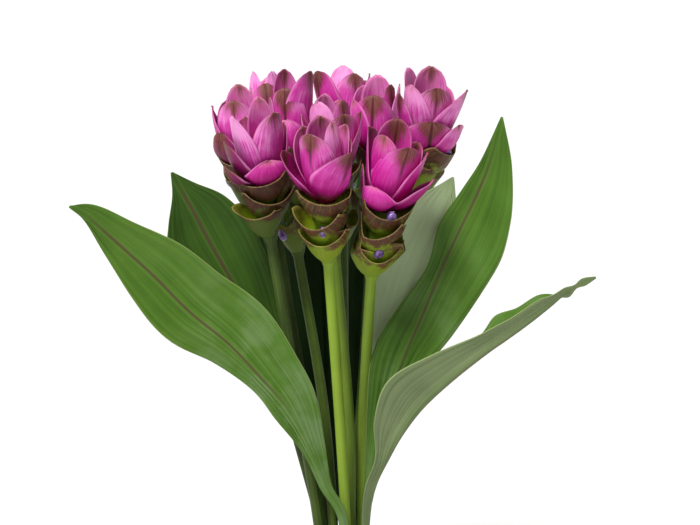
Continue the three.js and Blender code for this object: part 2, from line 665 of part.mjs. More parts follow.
// A leaf: one lofted sheet that is thick and narrow in its stalk and thin in its blade
function leafSolid({ spine, facing, fold, wave, waves, twist = 0 }) {
  const count = Math.round((spine.length - 1) * LEAF_STEPS);
  const rows = Array.from({ length: count + 1 }, (_, n) => along(spine, n / count));
  const halves = rows.map(([, , , left, right]) => [left, right]);
  const grid = rows.map((row, n) => {
    const t = n / count;
    const centre = vector(row);
    const behind = vector(along(spine, t - LEAF_LOOK));
    const ahead = vector(along(spine, t + LEAF_LOOK)).sub(behind).normalize();
    const side = new THREE.Vector3().crossVectors(ahead, vector(facing)).normalize();
    side.applyAxisAngle(ahead, radians(twist) * smoothstep(t, ...TIP_TWIST));
    const normal = new THREE.Vector3().crossVectors(side, ahead);
    const blade = smoothstep((row[3] + row[4]) / 2, ...BLADE_START);
    const rise = radians(fold) * blade;
    return LEAF_ACROSS.map((u) => {
      const half = u < 0 ? row[3] : row[4];
      const reach = u * half;
      const lag = u < 0 ? LEFT_WAVE_LAG : 0;
      const ripple = wave * blade * u * u * Math.sin(2 * Math.PI * waves * t + lag);
      return centre.clone()
        .addScaledVector(side, reach * Math.cos(rise))
        .addScaledVector(normal, Math.abs(reach) * Math.sin(rise) + ripple);
    });
  });
  return sheet(grid, (i, j) => {
    const u = LEAF_ACROSS[j];
    const reach = Math.abs(u) * (u < 0 ? halves[i][0] : halves[i][1]);
    const rib = mix(RIB_HALF_THICKNESS, BLADE_HALF_THICKNESS, smoothstep(i / count, ...RIB_FADE));
    return mix(rib, BLADE_HALF_THICKNESS, Math.min(reach / RIB_HALF_WIDTH, 1));
  });
}

// The pot: a tapered clay wall with a thick rim, turned on its axis, with holes in its floor
function potOuter(z) {
  return mix(POT_FOOT_RADIUS, POT_RIM_RADIUS - POT_RIM_STEP, z / (POT_HEIGHT - POT_RIM_DEPTH));
}

function potInner(z) {
  return mix(POT_FOOT_RADIUS, POT_RIM_RADIUS, z / POT_HEIGHT) - POT_WALL;
}

function turned(profile, sides) {
  const rings = profile.map(([radius, z]) => {
    const place = new THREE.Vector3(0, 0, z);
    return ring(place, new THREE.Vector3(0, 0, 1), new THREE.Vector3(1, 0, 0), radius, sides);
  });
  return loft(rings);
}

function potSolid() {
  const lip = POT_HEIGHT - POT_RIM_DEPTH;
  const outside = [
    [POT_FOOT_RADIUS - 1, 0], [POT_FOOT_RADIUS, 1], [potOuter(lip), lip],
    [POT_RIM_RADIUS - 1, lip + 1], [POT_RIM_RADIUS, POT_HEIGHT - 2], [POT_RIM_RADIUS - 2, POT_HEIGHT],
  ];
  const inside = [[potInner(POT_FLOOR), POT_FLOOR], [potInner(POT_HEIGHT), POT_HEIGHT + 1]];
  const holes = Array.from({ length: DRAIN_COUNT }, (_, k) => {
    const angle = (2 * Math.PI * (k + 0.5)) / DRAIN_COUNT;
    const hole = turned([[DRAIN_RADIUS, -1], [DRAIN_RADIUS, POT_FLOOR + 1]], DRAIN_SIDES);
    return hole.translate([DRAIN_RING_RADIUS * Math.cos(angle), DRAIN_RING_RADIUS * Math.sin(angle), 0]);
  });
  const cup = turned(outside, POT_SIDES).subtract(turned(inside, POT_SIDES));
  return holes.reduce((pot, hole) => pot.subtract(hole), cup);
}

// The soil: fills the pot and stands round each stalk, mounded in the middle
function soilSolid() {
  const bottom = POT_FLOOR + GAP;
  const shore = SOIL_TOP - SOIL_MOUND;
  const edge = (z) => potInner(z) - 2 * GAP;
  const profile = [[edge(bottom), bottom], [edge(shore), shore], [edge(shore) * SOIL_FLAT, SOIL_TOP]];
  const body = turned(profile, SOIL_SIDES);
  const holes = Object.values(HEADS).map((head) => {
    const frame = frameOf(head);
    const radius = (STEM_RADIUS + GAP) / Math.cos(Math.PI / HOLE_SIDES);
    return loft(stemRings(head, frame, radius, HOLE_SIDES, 0, HOLE_END_SHARE, 1)).translate([0, 0, -GAP]);
  });
  Object.values(LEAVES).forEach(({ spine }) => {
    const foot = vector(spine[0]);
    const span = (HOLE_TOP_Z - STEM_FOOT_Z) / (spine[1][2] - STEM_FOOT_Z);
    const above = vector(along(spine, span / (spine.length - 1)));
    const direction = above.clone().sub(foot).normalize();
    const start = foot.clone().addScaledVector(direction, -GAP);
    const up = new THREE.Vector3(0, 1, 0);
    holes.push(loft([start, above].map((p) => ring(p, direction, up, PETIOLE_HOLE_RADIUS, HOLE_SIDES))));
  });
  return holes.reduce((soil, hole) => soil.subtract(hole), body);
}

const plant = new THREE.Group();
plant.add(mesh('pot', potSolid(), CLAY));
plant.add(mesh('soil', soilSolid(), SOIL));

const seats = Object.values(FLORETS).map((floret) => ({ head: floret[0], solid: floretSolid(floret, GAP) }));
for (const [name, head] of Object.entries(HEADS)) {
  const near = seats.filter((seat) => seat.head === name);
  const seated = (solid) => whole(near.reduce((left, seat) => left.subtract(seat.solid), solid));
  const label = name.toLowerCase();
  const stem = stemSolid(name, head).subtract(comaSolid(name, head, GAP));
  plant.add(mesh(`stem_${label}`, seated(stem), POUCH_GREEN));
  plant.add(mesh(`bloom_${label}`, seated(comaSolid(name, head)), PINK));
}
for (const [name, leaf] of Object.entries(LEAVES)) {
  plant.add(mesh(name, leafSolid(leaf), LEAF_GREEN));
}
for (const [name, floret] of Object.entries(FLORETS)) {
  plant.add(mesh(name, floretSolid(floret), VIOLET));
}

export default plant;
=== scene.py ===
"""Potted siam tulip: crowns of pink bracts over green pouches, broad leaves, and a plain clay pot.

Sizes are in millimetres and become metres where a mesh is made. +Z is up and -Y is the front.
"""

import logging
from collections.abc import Iterable, Mapping, Sequence
from dataclasses import dataclass, field
from enum import Enum
from functools import partial, reduce
from math import cos, pi, radians, sin, tau

import bmesh
import bpy
import numpy as np
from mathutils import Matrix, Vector

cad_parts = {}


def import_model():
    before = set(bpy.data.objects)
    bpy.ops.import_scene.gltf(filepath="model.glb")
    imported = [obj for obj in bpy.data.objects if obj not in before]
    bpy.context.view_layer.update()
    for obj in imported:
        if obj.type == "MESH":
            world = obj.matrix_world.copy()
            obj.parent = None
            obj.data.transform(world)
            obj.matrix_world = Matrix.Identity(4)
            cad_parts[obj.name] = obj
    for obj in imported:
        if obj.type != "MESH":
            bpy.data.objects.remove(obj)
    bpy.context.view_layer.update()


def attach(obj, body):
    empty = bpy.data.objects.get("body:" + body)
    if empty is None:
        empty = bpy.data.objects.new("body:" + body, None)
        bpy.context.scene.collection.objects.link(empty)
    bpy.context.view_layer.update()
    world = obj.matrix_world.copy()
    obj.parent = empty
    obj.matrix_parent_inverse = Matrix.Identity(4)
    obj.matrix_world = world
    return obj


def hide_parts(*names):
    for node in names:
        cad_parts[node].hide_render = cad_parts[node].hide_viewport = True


Array = np.ndarray
Colour = tuple[float, float, float]
Place = tuple[float, float, float]
Span = tuple[float, float]
Faces = list[tuple[int, ...]]
Material = bpy.types.Material
Object = bpy.types.Object
Socket = bpy.types.NodeSocket
Signal = Socket | float

LOG = logging.getLogger("siam_tulip")
MM = 0.001
ROOT = "root"
UP = np.array([0.0, 0.0, 1.0])
RIGHT = np.array([1.0, 0.0, 0.0])


class Slot(Enum):
    """Material slots of the part's record."""

    CLAY = "clay"
    SOIL = "soil"
    STEM = "stem"
    PETAL = "petal"
    LEAF = "leaf"
    FLORET = "floret"


class Side(Enum):
    """The two faces of a bract or a blade, as the finishes read them."""

    SHOWN = 1.0
    HIDDEN = 0.0


# Numbers and curves


def mix(start: float | Array, end: float | Array, share: float | Array) -> float | Array:
    """Return the value that is a share of the way from start to end."""
    return start + (end - start) * share


def smoothstep(value: float | Array, low: float, high: float) -> float | Array:
    """Return 0 below low, 1 above high and a smooth rise between them."""
    share = np.clip((value - low) / (high - low), 0, 1)
    return share * share * (3 - 2 * share)


def unit(vectors: Array) -> Array:
    """Return vectors scaled to length one along their last axis."""
    return vectors / np.maximum(np.linalg.norm(vectors, axis=-1, keepdims=True), 1e-9)


def curve_at(rows: Sequence[Sequence[float]], share: Array) -> Array:
    """Follow a smooth curve through rows of numbers.

    Args:
        rows: The rows that the curve passes, evenly spaced along it.
        share: Places along the curve, from 0 to 1.

    Returns:
        One row of numbers for each place.
    """
    table = np.asarray(rows, float)
    padded = np.vstack([2 * table[0] - table[1], table, 2 * table[-1] - table[-2]])
    place = np.clip(np.atleast_1d(share), 0, 1) * (len(table) - 1)
    index = np.minimum(place.astype(int), len(table) - 2)
    part = (place - index)[:, None]
    before, here, after, beyond = (padded[index + k] for k in range(4))
    slope_in = (after - before) / 2
    slope_out = (beyond - here) / 2
    rise = after - here
    square = 3 * rise - 2 * slope_in - slope_out
    cube = slope_in + slope_out - 2 * rise
    return here + part * (slope_in + part * (square + part * cube))


def bezier(ends: Sequence[float], share: Array) -> Array:
    """Follow a cubic.

    Args:
        ends: Its four control numbers.
        share: Places along it, from 0 to 1.

    Returns:
        Its value at each place.
    """
    a, b, c, d = ends
    rest = 1 - share
    return rest**3 * a + 3 * rest**2 * share * b + 3 * rest * share**2 * c + share**3 * d


def bezier_slope(ends: Sequence[float], share: Array) -> Array:
    """Find the slope of the same cubic.

    Args:
        ends: Its four control numbers.
        share: Places along it, from 0 to 1.

    Returns:
        Its slope at each place.
    """
    a, b, c, d = ends
    rest = 1 - share
    return 3 * (rest**2 * (b - a) + 2 * rest * share * (c - b) + share**2 * (d - c))


def crowded_ends(count: int, power: float) -> Array:
    """Return count places from -1 to 1, closer together near both ends for a power under one."""
    even = np.linspace(-1, 1, count)
    return np.sign(even) * np.abs(even) ** power


def ring_turns(sides: int) -> Array:
    """Return the turns of a ring's points, in radians."""
    return np.arange(sides) * tau / sides


# Meshes


@dataclass
class MeshDraft:
    """Points, faces and named values of one piece, gathered before its mesh is made."""

    name: str
    points: list[Array] = field(default_factory=list)
    faces: list[list[int]] = field(default_factory=list)
    finish_of_face: list[int] = field(default_factory=list)
    values: list[dict[str, Array]] = field(default_factory=list)
    count: int = 0

    def add(
        self,
        points: Array,
        faces: Iterable[Sequence[int]],
        values: Mapping[str, float | Array],
        finish: int = 0,
    ) -> None:
        """Add a shape.

        Args:
            points: Its points in millimetres, one row each.
            faces: Its faces, as numbers of its own points.
            values: Named values for the finishes, one number for the shape or one for each point.
            finish: Which of the piece's finishes it has.
        """
        own = [[int(corner) + self.count for corner in face] for face in faces]
        self.points.append(points)
        self.faces.extend(own)
        self.finish_of_face.extend([finish] * len(own))
        size = len(points)
        self.values.append({key: np.broadcast_to(value, (size,)) for key, value in values.items()})
        self.count += size

    def build(self, materials: Sequence[Material]) -> Object:
        """Make the object.

        Args:
            materials: The finishes' materials, in the order of their numbers.

        Returns:
            The object, linked to the scene, at the origin, with its place in its mesh.
        """
        mesh = bpy.data.meshes.new(self.name)
        mesh.from_pydata((np.vstack(self.points) * MM).tolist(), [], self.faces)
        for material in materials:
            mesh.materials.append(material)
        mesh.polygons.foreach_set("material_index", self.finish_of_face)
        for key in sorted({key for values in self.values for key in values}):
            layer = mesh.attributes.new(key, "FLOAT", "POINT")
            parts = [
                values.get(key, np.zeros(len(points)))
                for values, points in zip(self.values, self.points, strict=True)
            ]
            layer.data.foreach_set("value", np.concatenate(parts).astype(np.float32))
        mesh.update()
        face_outward(mesh)
        mesh.shade_smooth()
        piece = bpy.data.objects.new(self.name, mesh)
        bpy.context.scene.collection.objects.link(piece)
        return piece


def face_outward(mesh: bpy.types.Mesh) -> None:
    """Turn the faces of a mesh outward.

    Args:
        mesh: A mesh of closed shells.
    """
    work = bmesh.new()
    work.from_mesh(mesh)
    bmesh.ops.recalc_face_normals(work, faces=work.faces)
    work.to_mesh(mesh)
    work.free()


def cut_by(piece: Object, tool: Object) -> None:
    """Cut a tool's shape out of a piece and remove the tool.

    Args:
        piece: The piece, whose mesh is replaced.
        tool: The object whose shape is cut out.
    """
    cut = piece.modifiers.new("cut", "BOOLEAN")
    cut.operation = "DIFFERENCE"
    cut.object = tool
    cut.solver = "EXACT"
    seen = piece.evaluated_get(bpy.context.evaluated_depsgraph_get())
    mesh = bpy.data.meshes.new_from_object(seen)
    piece.modifiers.clear()
    old, piece.data = piece.data, mesh
    bpy.data.meshes.remove(old)
    bpy.data.meshes.remove(tool.data)


def sheet(grid: Array, half: Array) -> tuple[Array, Faces]:
    """Thicken a grid of points into a closed sheet.

    Args:
        grid: Points as rows, columns and coordinates.
        half: Half the sheet's thickness at each point.

    Returns:
        The points, first those on the side that the rows' direction crossed with the columns' faces,
        then those on the other side, and the faces.
    """
    rows, columns = grid.shape[:2]
    normal = unit(np.cross(np.gradient(grid, axis=0), np.gradient(grid, axis=1)))
    points = np.concatenate([grid + normal * half[..., None], grid - normal * half[..., None]])
    number = np.arange(rows * columns).reshape(rows, columns)
    shift = rows * columns
    faces: Faces = []
    for i, j in np.ndindex(rows - 1, columns - 1):
        a, b, c, d = number[i, j], number[i, j + 1], number[i + 1, j + 1], number[i + 1, j]
        faces.append((a, b, c, d))
        faces.append((a + shift, d + shift, c + shift, b + shift))
        around = ((i == 0, a, b), (j == columns - 2, b, c), (i == rows - 2, c, d), (j == 0, d, a))
        faces += [(start, start + shift, end + shift, end) for open_edge, start, end in around if open_edge]
    return points.reshape(-1, 3), faces


def sheet_values(t: Array, u: Array, front: Side) -> dict[str, Array]:
    """Give the values that every sheet carries.

    Args:
        t: The places of its rows along it, from 0 to 1.
        u: The places of its columns across it, from -1 to 1.
        front: The side that the first half of its points is on.

    Returns:
        Its places along and across and its side, one number for each point.
    """
    back = Side.HIDDEN if front is Side.SHOWN else Side.SHOWN
    return {
        "along": np.tile(np.repeat(t, len(u)), 2),
        "across": np.tile(u, 2 * len(t)),
        "side": np.repeat([front.value, back.value], len(t) * len(u)),
    }


def tube(rings: Array) -> tuple[Array, Faces]:
    """Close a tube through rings of points.

    Args:
        rings: Points as rings, points of a ring and coordinates.

    Returns:
        The points, ring by ring and then the middles of the two ends, and the faces.
    """
    count, sides = rings.shape[:2]
    points = np.vstack([rings.reshape(-1, 3), rings[0].mean(0), rings[-1].mean(0)])
    faces: Faces = []
    for ring, k in np.ndindex(count - 1, sides):
        here = ring * sides + k
        beside = ring * sides + (k + 1) % sides
        faces.append((here, beside, beside + sides, here + sides))
    foot, top = count * sides, count * sides + 1
    last = (count - 1) * sides
    for k in range(sides):
        following = (k + 1) % sides
        faces.append((foot, following, k))
        faces.append((top, last + k, last + following))
    return points, faces


def ring_points(centres: Array, ahead: Array, across: Array, radii: Array, sides: int) -> Array:
    """Set rings round a line.

    Args:
        centres: The middle of each ring.
        ahead: The line's direction, one for all the rings or one for each.
        across: A direction that the rings' first points lie towards.
        radii: A radius for each ring, or for each point of each ring.
        sides: How many points a ring has.

    Returns:
        Points as rings, points of a ring and coordinates.
    """
    directions = np.broadcast_to(ahead, centres.shape)
    side = unit(np.cross(directions, across))
    front = unit(np.cross(side, directions))
    angle = ring_turns(sides)[:, None]
    wide = np.broadcast_to(radii.reshape(len(centres), -1), (len(centres), sides))
    outward = front[:, None] * np.cos(angle) + side[:, None] * np.sin(angle)
    return centres[:, None] + outward * wide[..., None]


# Node trees


@dataclass(frozen=True)
class Cloud:
    """A noise that follows the place on the object: how fine it is, and how rough."""

    scale: float
    detail: float = 3.0
    roughness: float = 0.5


@dataclass(frozen=True)
class Grain:
    """A noise drawn out along a piece: how often it changes across and along it, and how rough it is."""

    across: float
    along: float
    detail: float = 3.0
    roughness: float = 0.5


@dataclass(frozen=True)
class Relief:
    """The fine relief of a finish: how deep it is, in metres, and how strongly it shows."""

    depth: float
    strength: float


class Nodes:
    """Adds nodes to a material's tree, with short names for the ones that the finishes need."""

    NOISE_MIDDLE = 0.5

    def __init__(self, name: str) -> None:
        """Start a material with a Principled surface."""
        self.material = bpy.data.materials.new(name)
        self.material.use_nodes = True
        self.tree = self.material.node_tree
        self.surface = self.tree.nodes["Principled BSDF"]

    def link(self, source: Signal, target: Socket) -> None:
        """Join a socket to an input, or set the input to a number.

        Args:
            source: The socket or the number.
            target: The input.
        """
        if isinstance(source, Socket):
            self.tree.links.new(source, target)
        else:
            target.default_value = source

    def value(self, name: str) -> Socket:
        """Read a value of the mesh.

        Args:
            name: The value's name.

        Returns:
            The value.
        """
        node = self.tree.nodes.new("ShaderNodeAttribute")
        node.attribute_type = "GEOMETRY"
        node.attribute_name = name
        return node.outputs["Fac"]

    def place(self) -> Socket:
        """Return the place on the object, in metres."""
        return self.tree.nodes.new("ShaderNodeTexCoord").outputs["Object"]

    def height(self) -> Socket:
        """Return the height on the object, in metres."""
        node = self.tree.nodes.new("ShaderNodeSeparateXYZ")
        self.link(self.place(), node.inputs[0])
        return node.outputs[2]

    def math(self, kind: str, *numbers: Signal) -> Socket:
        """Reckon with one or two numbers.

        Args:
            kind: The operation's name.
            numbers: The numbers.

        Returns:
            The sum, product or other result.
        """
        node = self.tree.nodes.new("ShaderNodeMath")
        node.operation = kind
        for number, target in zip(numbers, node.inputs):
            self.link(number, target)
        return node.outputs[0]

    def add(self, *numbers: Signal) -> Socket:
        """Return the sum of two or more numbers."""
        return reduce(partial(self.math, "ADD"), numbers)

    def times(self, *numbers: Signal) -> Socket:
        """Return the product of two or more numbers."""
        return reduce(partial(self.math, "MULTIPLY"), numbers)

    def less(self, first: Signal, second: Signal) -> Socket:
        """Return the first number less the second."""
        return self.math("SUBTRACT", first, second)

    def left(self, share: Socket) -> Socket:
        """Return what a share leaves of one."""
        return self.less(1.0, share)

    def sway(self, noise: Socket, amount: float) -> Socket:
        """Return a noise as a swing of this amount round nothing."""
        return self.times(self.less(noise, self.NOISE_MIDDLE), amount)

    def rise(self, value: Socket, span: Span) -> Socket:
        """Make a smooth step of a value.

        Args:
            value: The value.
            span: Where it starts and ends.

        Returns:
            A number from 0 at the span's start to 1 at its end.
        """
        node = self.tree.nodes.new("ShaderNodeMapRange")
        node.interpolation_type = "SMOOTHSTEP"
        self.link(value, node.inputs["Value"])
        node.inputs["From Min"].default_value, node.inputs["From Max"].default_value = span
        return node.outputs["Result"]

    def fall(self, value: Socket, span: Span) -> Socket:
        """Return a smooth step of a value from 1 at the start of a span to 0 at its end."""
        return self.left(self.rise(value, span))

    def vector(self, *numbers: Signal) -> Socket:
        """Join three numbers.

        Args:
            numbers: The numbers along x, y and z.

        Returns:
            Their vector.
        """
        node = self.tree.nodes.new("ShaderNodeCombineXYZ")
        for source, target in zip(numbers, node.inputs, strict=True):
            self.link(source, target)
        return node.outputs[0]

    def noise(self, where: Socket, kind: Cloud) -> Socket:
        """Make a noise.

        Args:
            where: The place that it follows.
            kind: Its fineness and roughness.

        Returns:
            A number of about 0.5 on average.
        """
        node = self.tree.nodes.new("ShaderNodeTexNoise")
        self.link(where, node.inputs["Vector"])
        node.inputs["Scale"].default_value = kind.scale
        node.inputs["Detail"].default_value = kind.detail
        node.inputs["Roughness"].default_value = kind.roughness
        return node.outputs["Fac"]

    def ramp(self, value: Socket, stops: Sequence[tuple[float, Colour]]) -> Socket:
        """Make a colour that changes with a value.

        Args:
            value: The value.
            stops: Values, from the lowest, with their colours.

        Returns:
            The colour.
        """
        node = self.tree.nodes.new("ShaderNodeValToRGB")
        self.link(value, node.inputs[0])
        band = node.color_ramp
        while len(band.elements) < len(stops):
            band.elements.new(0.5)
        for element, (place, colour) in zip(band.elements, stops, strict=True):
            element.position = place
            element.color = (*colour, 1)
        return node.outputs["Color"]

    def blend(self, share: Socket, first: Socket | Colour, second: Socket | Colour) -> Socket:
        """Mix two colours.

        Args:
            share: How much of the second colour there is.
            first: The first colour.
            second: The second colour.

        Returns:
            The mixed colour.
        """
        node = self.tree.nodes.new("ShaderNodeMix")
        node.data_type = "RGBA"
        self.link(share, node.inputs["Factor"])
        for source, target in zip((first, second), (node.inputs[6], node.inputs[7]), strict=True):
            self.link(source if isinstance(source, Socket) else (*source, 1), target)
        return node.outputs[2]

    def finish(self, colour: Socket, roughness: Signal, height: Socket, relief: Relief) -> None:
        """Join the surface.

        Args:
            colour: The surface's colour.
            roughness: Its roughness.
            height: The height of its fine relief, from 0 to 1.
            relief: The relief's depth and strength.
        """
        bump = self.tree.nodes.new("ShaderNodeBump")
        bump.inputs["Strength"].default_value = relief.strength
        bump.inputs["Distance"].default_value = relief.depth
        self.link(height, bump.inputs["Height"])
        self.link(bump.outputs[0], self.surface.inputs["Normal"])
        self.link(colour, self.surface.inputs["Base Color"])
        self.link(roughness, self.surface.inputs["Roughness"])

    def set(self, **inputs: float) -> None:
        """Set constant inputs of the surface, named with underscores for spaces."""
        for name, number in inputs.items():
            self.surface.inputs[name.replace("_", " ").title().replace("Ior", "IOR")].default_value = number


class PlantNodes(Nodes):
    """The nodes of a plant's finish, with the values that every stem, bract and blade carries."""

    def __init__(self, name: str, seed_step: float) -> None:
        """Read the values.

        Args:
            name: The material's name.
            seed_step: How far apart the seeds are.
        """
        super().__init__(name)
        self.along = self.value("along")
        self.across = self.value("across")
        # This value is partly a part's own colour and partly painted light and shade: low values paint parts
        # darker, high values paint them lighter.
        self.tone = self.value("tone")
        self.seed = self.times(self.value("seed"), seed_step)

    def drawn_out(self, across: Socket, along: Socket, grain: Grain) -> Socket:
        """Return a noise that is drawn out along a piece, from the places across and along it."""
        where = self.vector(self.times(across, grain.across), self.times(along, grain.along), self.seed)
        return self.noise(where, Cloud(1.0, grain.detail, grain.roughness))


class SheetNodes(PlantNodes):
    """The nodes of a finish for a bract or a blade, which has two sides and a middle line."""

    def __init__(self, name: str, seed_step: float) -> None:
        """Read the side, and how far off the middle line a place is.

        Args:
            name: The material's name.
            seed_step: How far apart the seeds are.
        """
        super().__init__(name, seed_step)
        self.side = self.value("side")
        self.off_middle = self.math("ABSOLUTE", self.across)


class BractNodes(SheetNodes):
    """The nodes of a bract's finish: its brownness, its coarse and fine lines and its clouds."""

    def __init__(self, name: str, seed_step: float, line: Grain, fine: Grain, cloud: Cloud) -> None:
        """Make the noises.

        Args:
            name: The material's name.
            seed_step: How far apart the seeds are.
            line: The coarse lines.
            fine: The fine lines.
            cloud: The clouds.
        """
        super().__init__(name, seed_step)
        self.brown = self.value("brown")
        self.line = self.drawn_out(self.across, self.along, line)
        self.fine = self.drawn_out(self.across, self.along, fine)
        self.cloud = self.noise(self.place(), cloud)


@dataclass(frozen=True)
class PetalFinish:
    """Pink bracts: deep magenta feet, pale striped upper parts and ragged red-brown tips."""

    foot: Colour = (0.34, 0.0015, 0.14)
    lower: Colour = (0.47, 0.006, 0.22)
    upper: Colour = (0.60, 0.050, 0.36)
    pale: Colour = (0.82, 0.29, 0.62)
    blush: Colour = (0.24, 0.010, 0.055)
    salmon: Colour = (0.70, 0.20, 0.24)
    tan: Colour = (0.36, 0.19, 0.11)
    darkened: Colour = (0.095, 0.003, 0.032)
    brown: Colour = (0.165, 0.040, 0.030)
    olive: Colour = (0.185, 0.095, 0.048)
    maroon: Colour = (0.075, 0.008, 0.014)
    seed_step: float = 7.3
    line: Grain = Grain(15.0, 1.3, 4.0, 0.65)
    fine: Grain = Grain(46.0, 5.0, 3.0, 0.7)
    cloud: Cloud = Cloud(90.0, 2.0)
    tone_pull: float = 0.24
    line_pull: float = 0.95
    cloud_pull: float = 0.6
    fine_pull: float = 0.7
    deepened: float = 0.04
    inner_share: float = 0.3
    darkening: Span = (0.75, 1.4)
    darkening_share: float = 0.75
    edge: Span = (0.84, 0.98)
    edge_start: Span = (0.1, 0.6)
    edge_share: float = 0.5
    tip_reach: float = 0.27
    tip_least: float = 0.05
    tip_point: float = 1.4
    ragged_by_line: float = 0.42
    ragged_by_fine: float = 0.30
    blush_edge: Span = (-0.11, 0.05)
    blush_share: float = 0.6
    redder: Span = (0.2, 0.65)
    patch_edge: Span = (-0.02, 0.09)
    patch_share: float = 0.95
    brown_shown: float = 3.0
    streak_reach: float = 0.62
    streak_start: Span = (0.0, 0.25)
    streak_width: Span = (0.015, 0.09)
    streak_share: float = 0.8
    rim: Span = (0.9, 0.97)
    rim_start: Span = (0.5, 0.8)
    rim_slant: float = 0.12
    rim_by_brown: float = 0.5
    rim_least: float = 0.2
    mottle: Span = (0.3, 0.6)
    mottle_pull: float = 0.9
    olive_line: Span = (0.46, 0.66)
    olive_start: Span = (0.78, 1.0)
    fleck: Span = (0.55, 0.72)
    fleck_share: float = 0.5
    roughness: float = 0.46
    rough_pull: float = 0.2
    fine_relief: float = 0.4
    relief: Relief = Relief(0.0005, 0.4)

    def material(self) -> Material:
        """Make the bracts' material.

        Returns:
            The material.
        """
        n = BractNodes("petal", self.seed_step, self.line, self.fine, self.cloud)
        tip = self.tip_depth(n)
        shown = n.math("MINIMUM", n.times(n.brown, self.brown_shown), 1.0)
        blushed = n.times(n.rise(tip, self.blush_edge), shown)
        patch = n.times(n.rise(tip, self.patch_edge), shown)
        halo = n.blend(n.rise(n.brown, self.redder), self.salmon, self.blush)
        colour = n.blend(n.times(blushed, self.blush_share), self.pink(n), halo)
        marked = n.math("MAXIMUM", patch, self.rim_mark(n))
        colour = n.blend(n.times(marked, self.patch_share), colour, self.dark(n))
        colour = n.blend(self.streak(n), colour, self.maroon)
        rough = n.add(n.sway(n.cloud, self.rough_pull), self.roughness)
        n.finish(colour, rough, n.add(n.line, n.times(n.fine, self.fine_relief)), self.relief)
        n.set(subsurface_weight=0.12, subsurface_scale=0.002, specular_ior_level=0.25)
        n.surface.inputs["Subsurface Radius"].default_value = (1.0, 0.3, 0.6)
        return n.material

    def pink(self, n: BractNodes) -> Socket:
        """Colour the pink: paler upward and along its stripes, shifted by painted light and shade, and dark
        maroon on the darkest bracts.

        Args:
            n: The material's nodes.

        Returns:
            The colour.
        """
        # Partly painted light and shade: low values deepen the pink and high values pale it. The lowest
        # values also darken it to a dark maroon.
        shade = n.add(n.along, n.times(n.tone, self.tone_pull), n.sway(n.line, self.line_pull))
        shade = n.add(shade, n.sway(n.cloud, self.cloud_pull), n.sway(n.fine, self.fine_pull))
        stops = [(0.0, self.foot), (0.32, self.lower), (0.68, self.upper), (1.0, self.pale)]
        pink = n.ramp(n.less(shade, self.deepened), stops)
        pink = n.blend(n.times(n.left(n.side), self.inner_share), pink, self.lower)
        darkened = n.rise(n.times(n.tone, -1.0), self.darkening)
        pink = n.blend(n.times(darkened, self.darkening_share), pink, self.darkened)
        edge = n.times(n.rise(n.off_middle, self.edge), n.rise(n.along, self.edge_start))
        return n.blend(n.times(edge, self.edge_share), pink, self.pale)

    def tip_depth(self, n: BractNodes) -> Socket:
        """Find how far a place is inside the brown tip, which is pointed and ragged.

        Args:
            n: The material's nodes.

        Returns:
            The depth, which is over 0 inside the tip.
        """
        middle = n.math("POWER", n.left(n.off_middle), self.tip_point)
        reach = n.times(n.brown, n.add(n.times(middle, self.tip_reach), self.tip_least))
        ragged = n.add(n.sway(n.line, self.ragged_by_line), n.sway(n.fine, self.ragged_by_fine))
        return n.add(n.less(n.add(n.along, reach), 1.0), ragged)

    def streak(self, n: BractNodes) -> Socket:
        """Draw the dark streak that runs down the middle from the tip.

        Args:
            n: The material's nodes.

        Returns:
            How much of it a place has.
        """
        start = n.less(n.along, n.left(n.times(n.brown, self.streak_reach)))
        streak = n.times(n.rise(start, self.streak_start), n.fall(n.off_middle, self.streak_width))
        return n.times(streak, n.times(n.brown, self.streak_share))

    def rim_mark(self, n: BractNodes) -> Socket:
        """Draw the thin brown rim of the upper part.

        Args:
            n: The material's nodes.

        Returns:
            How much of it a place has.
        """
        nearness = n.add(n.off_middle, n.times(n.less(n.along, 1.0), self.rim_slant))
        rim = n.times(n.rise(nearness, self.rim), n.rise(n.along, self.rim_start))
        return n.times(rim, n.add(n.times(n.brown, self.rim_by_brown), self.rim_least))

    def dark(self, n: BractNodes) -> Socket:
        """Colour the tips: maroon and brown, with olive lines and tan flecks.

        Args:
            n: The material's nodes.

        Returns:
            The colour.
        """
        mottle = n.rise(n.add(n.fine, n.sway(n.cloud, self.mottle_pull)), self.mottle)
        olive = n.times(n.rise(n.line, self.olive_line), n.rise(n.along, self.olive_start))
        dark = n.blend(olive, n.blend(mottle, self.maroon, self.brown), self.olive)
        return n.blend(n.times(n.rise(n.fine, self.fleck), self.fleck_share), dark, self.tan)


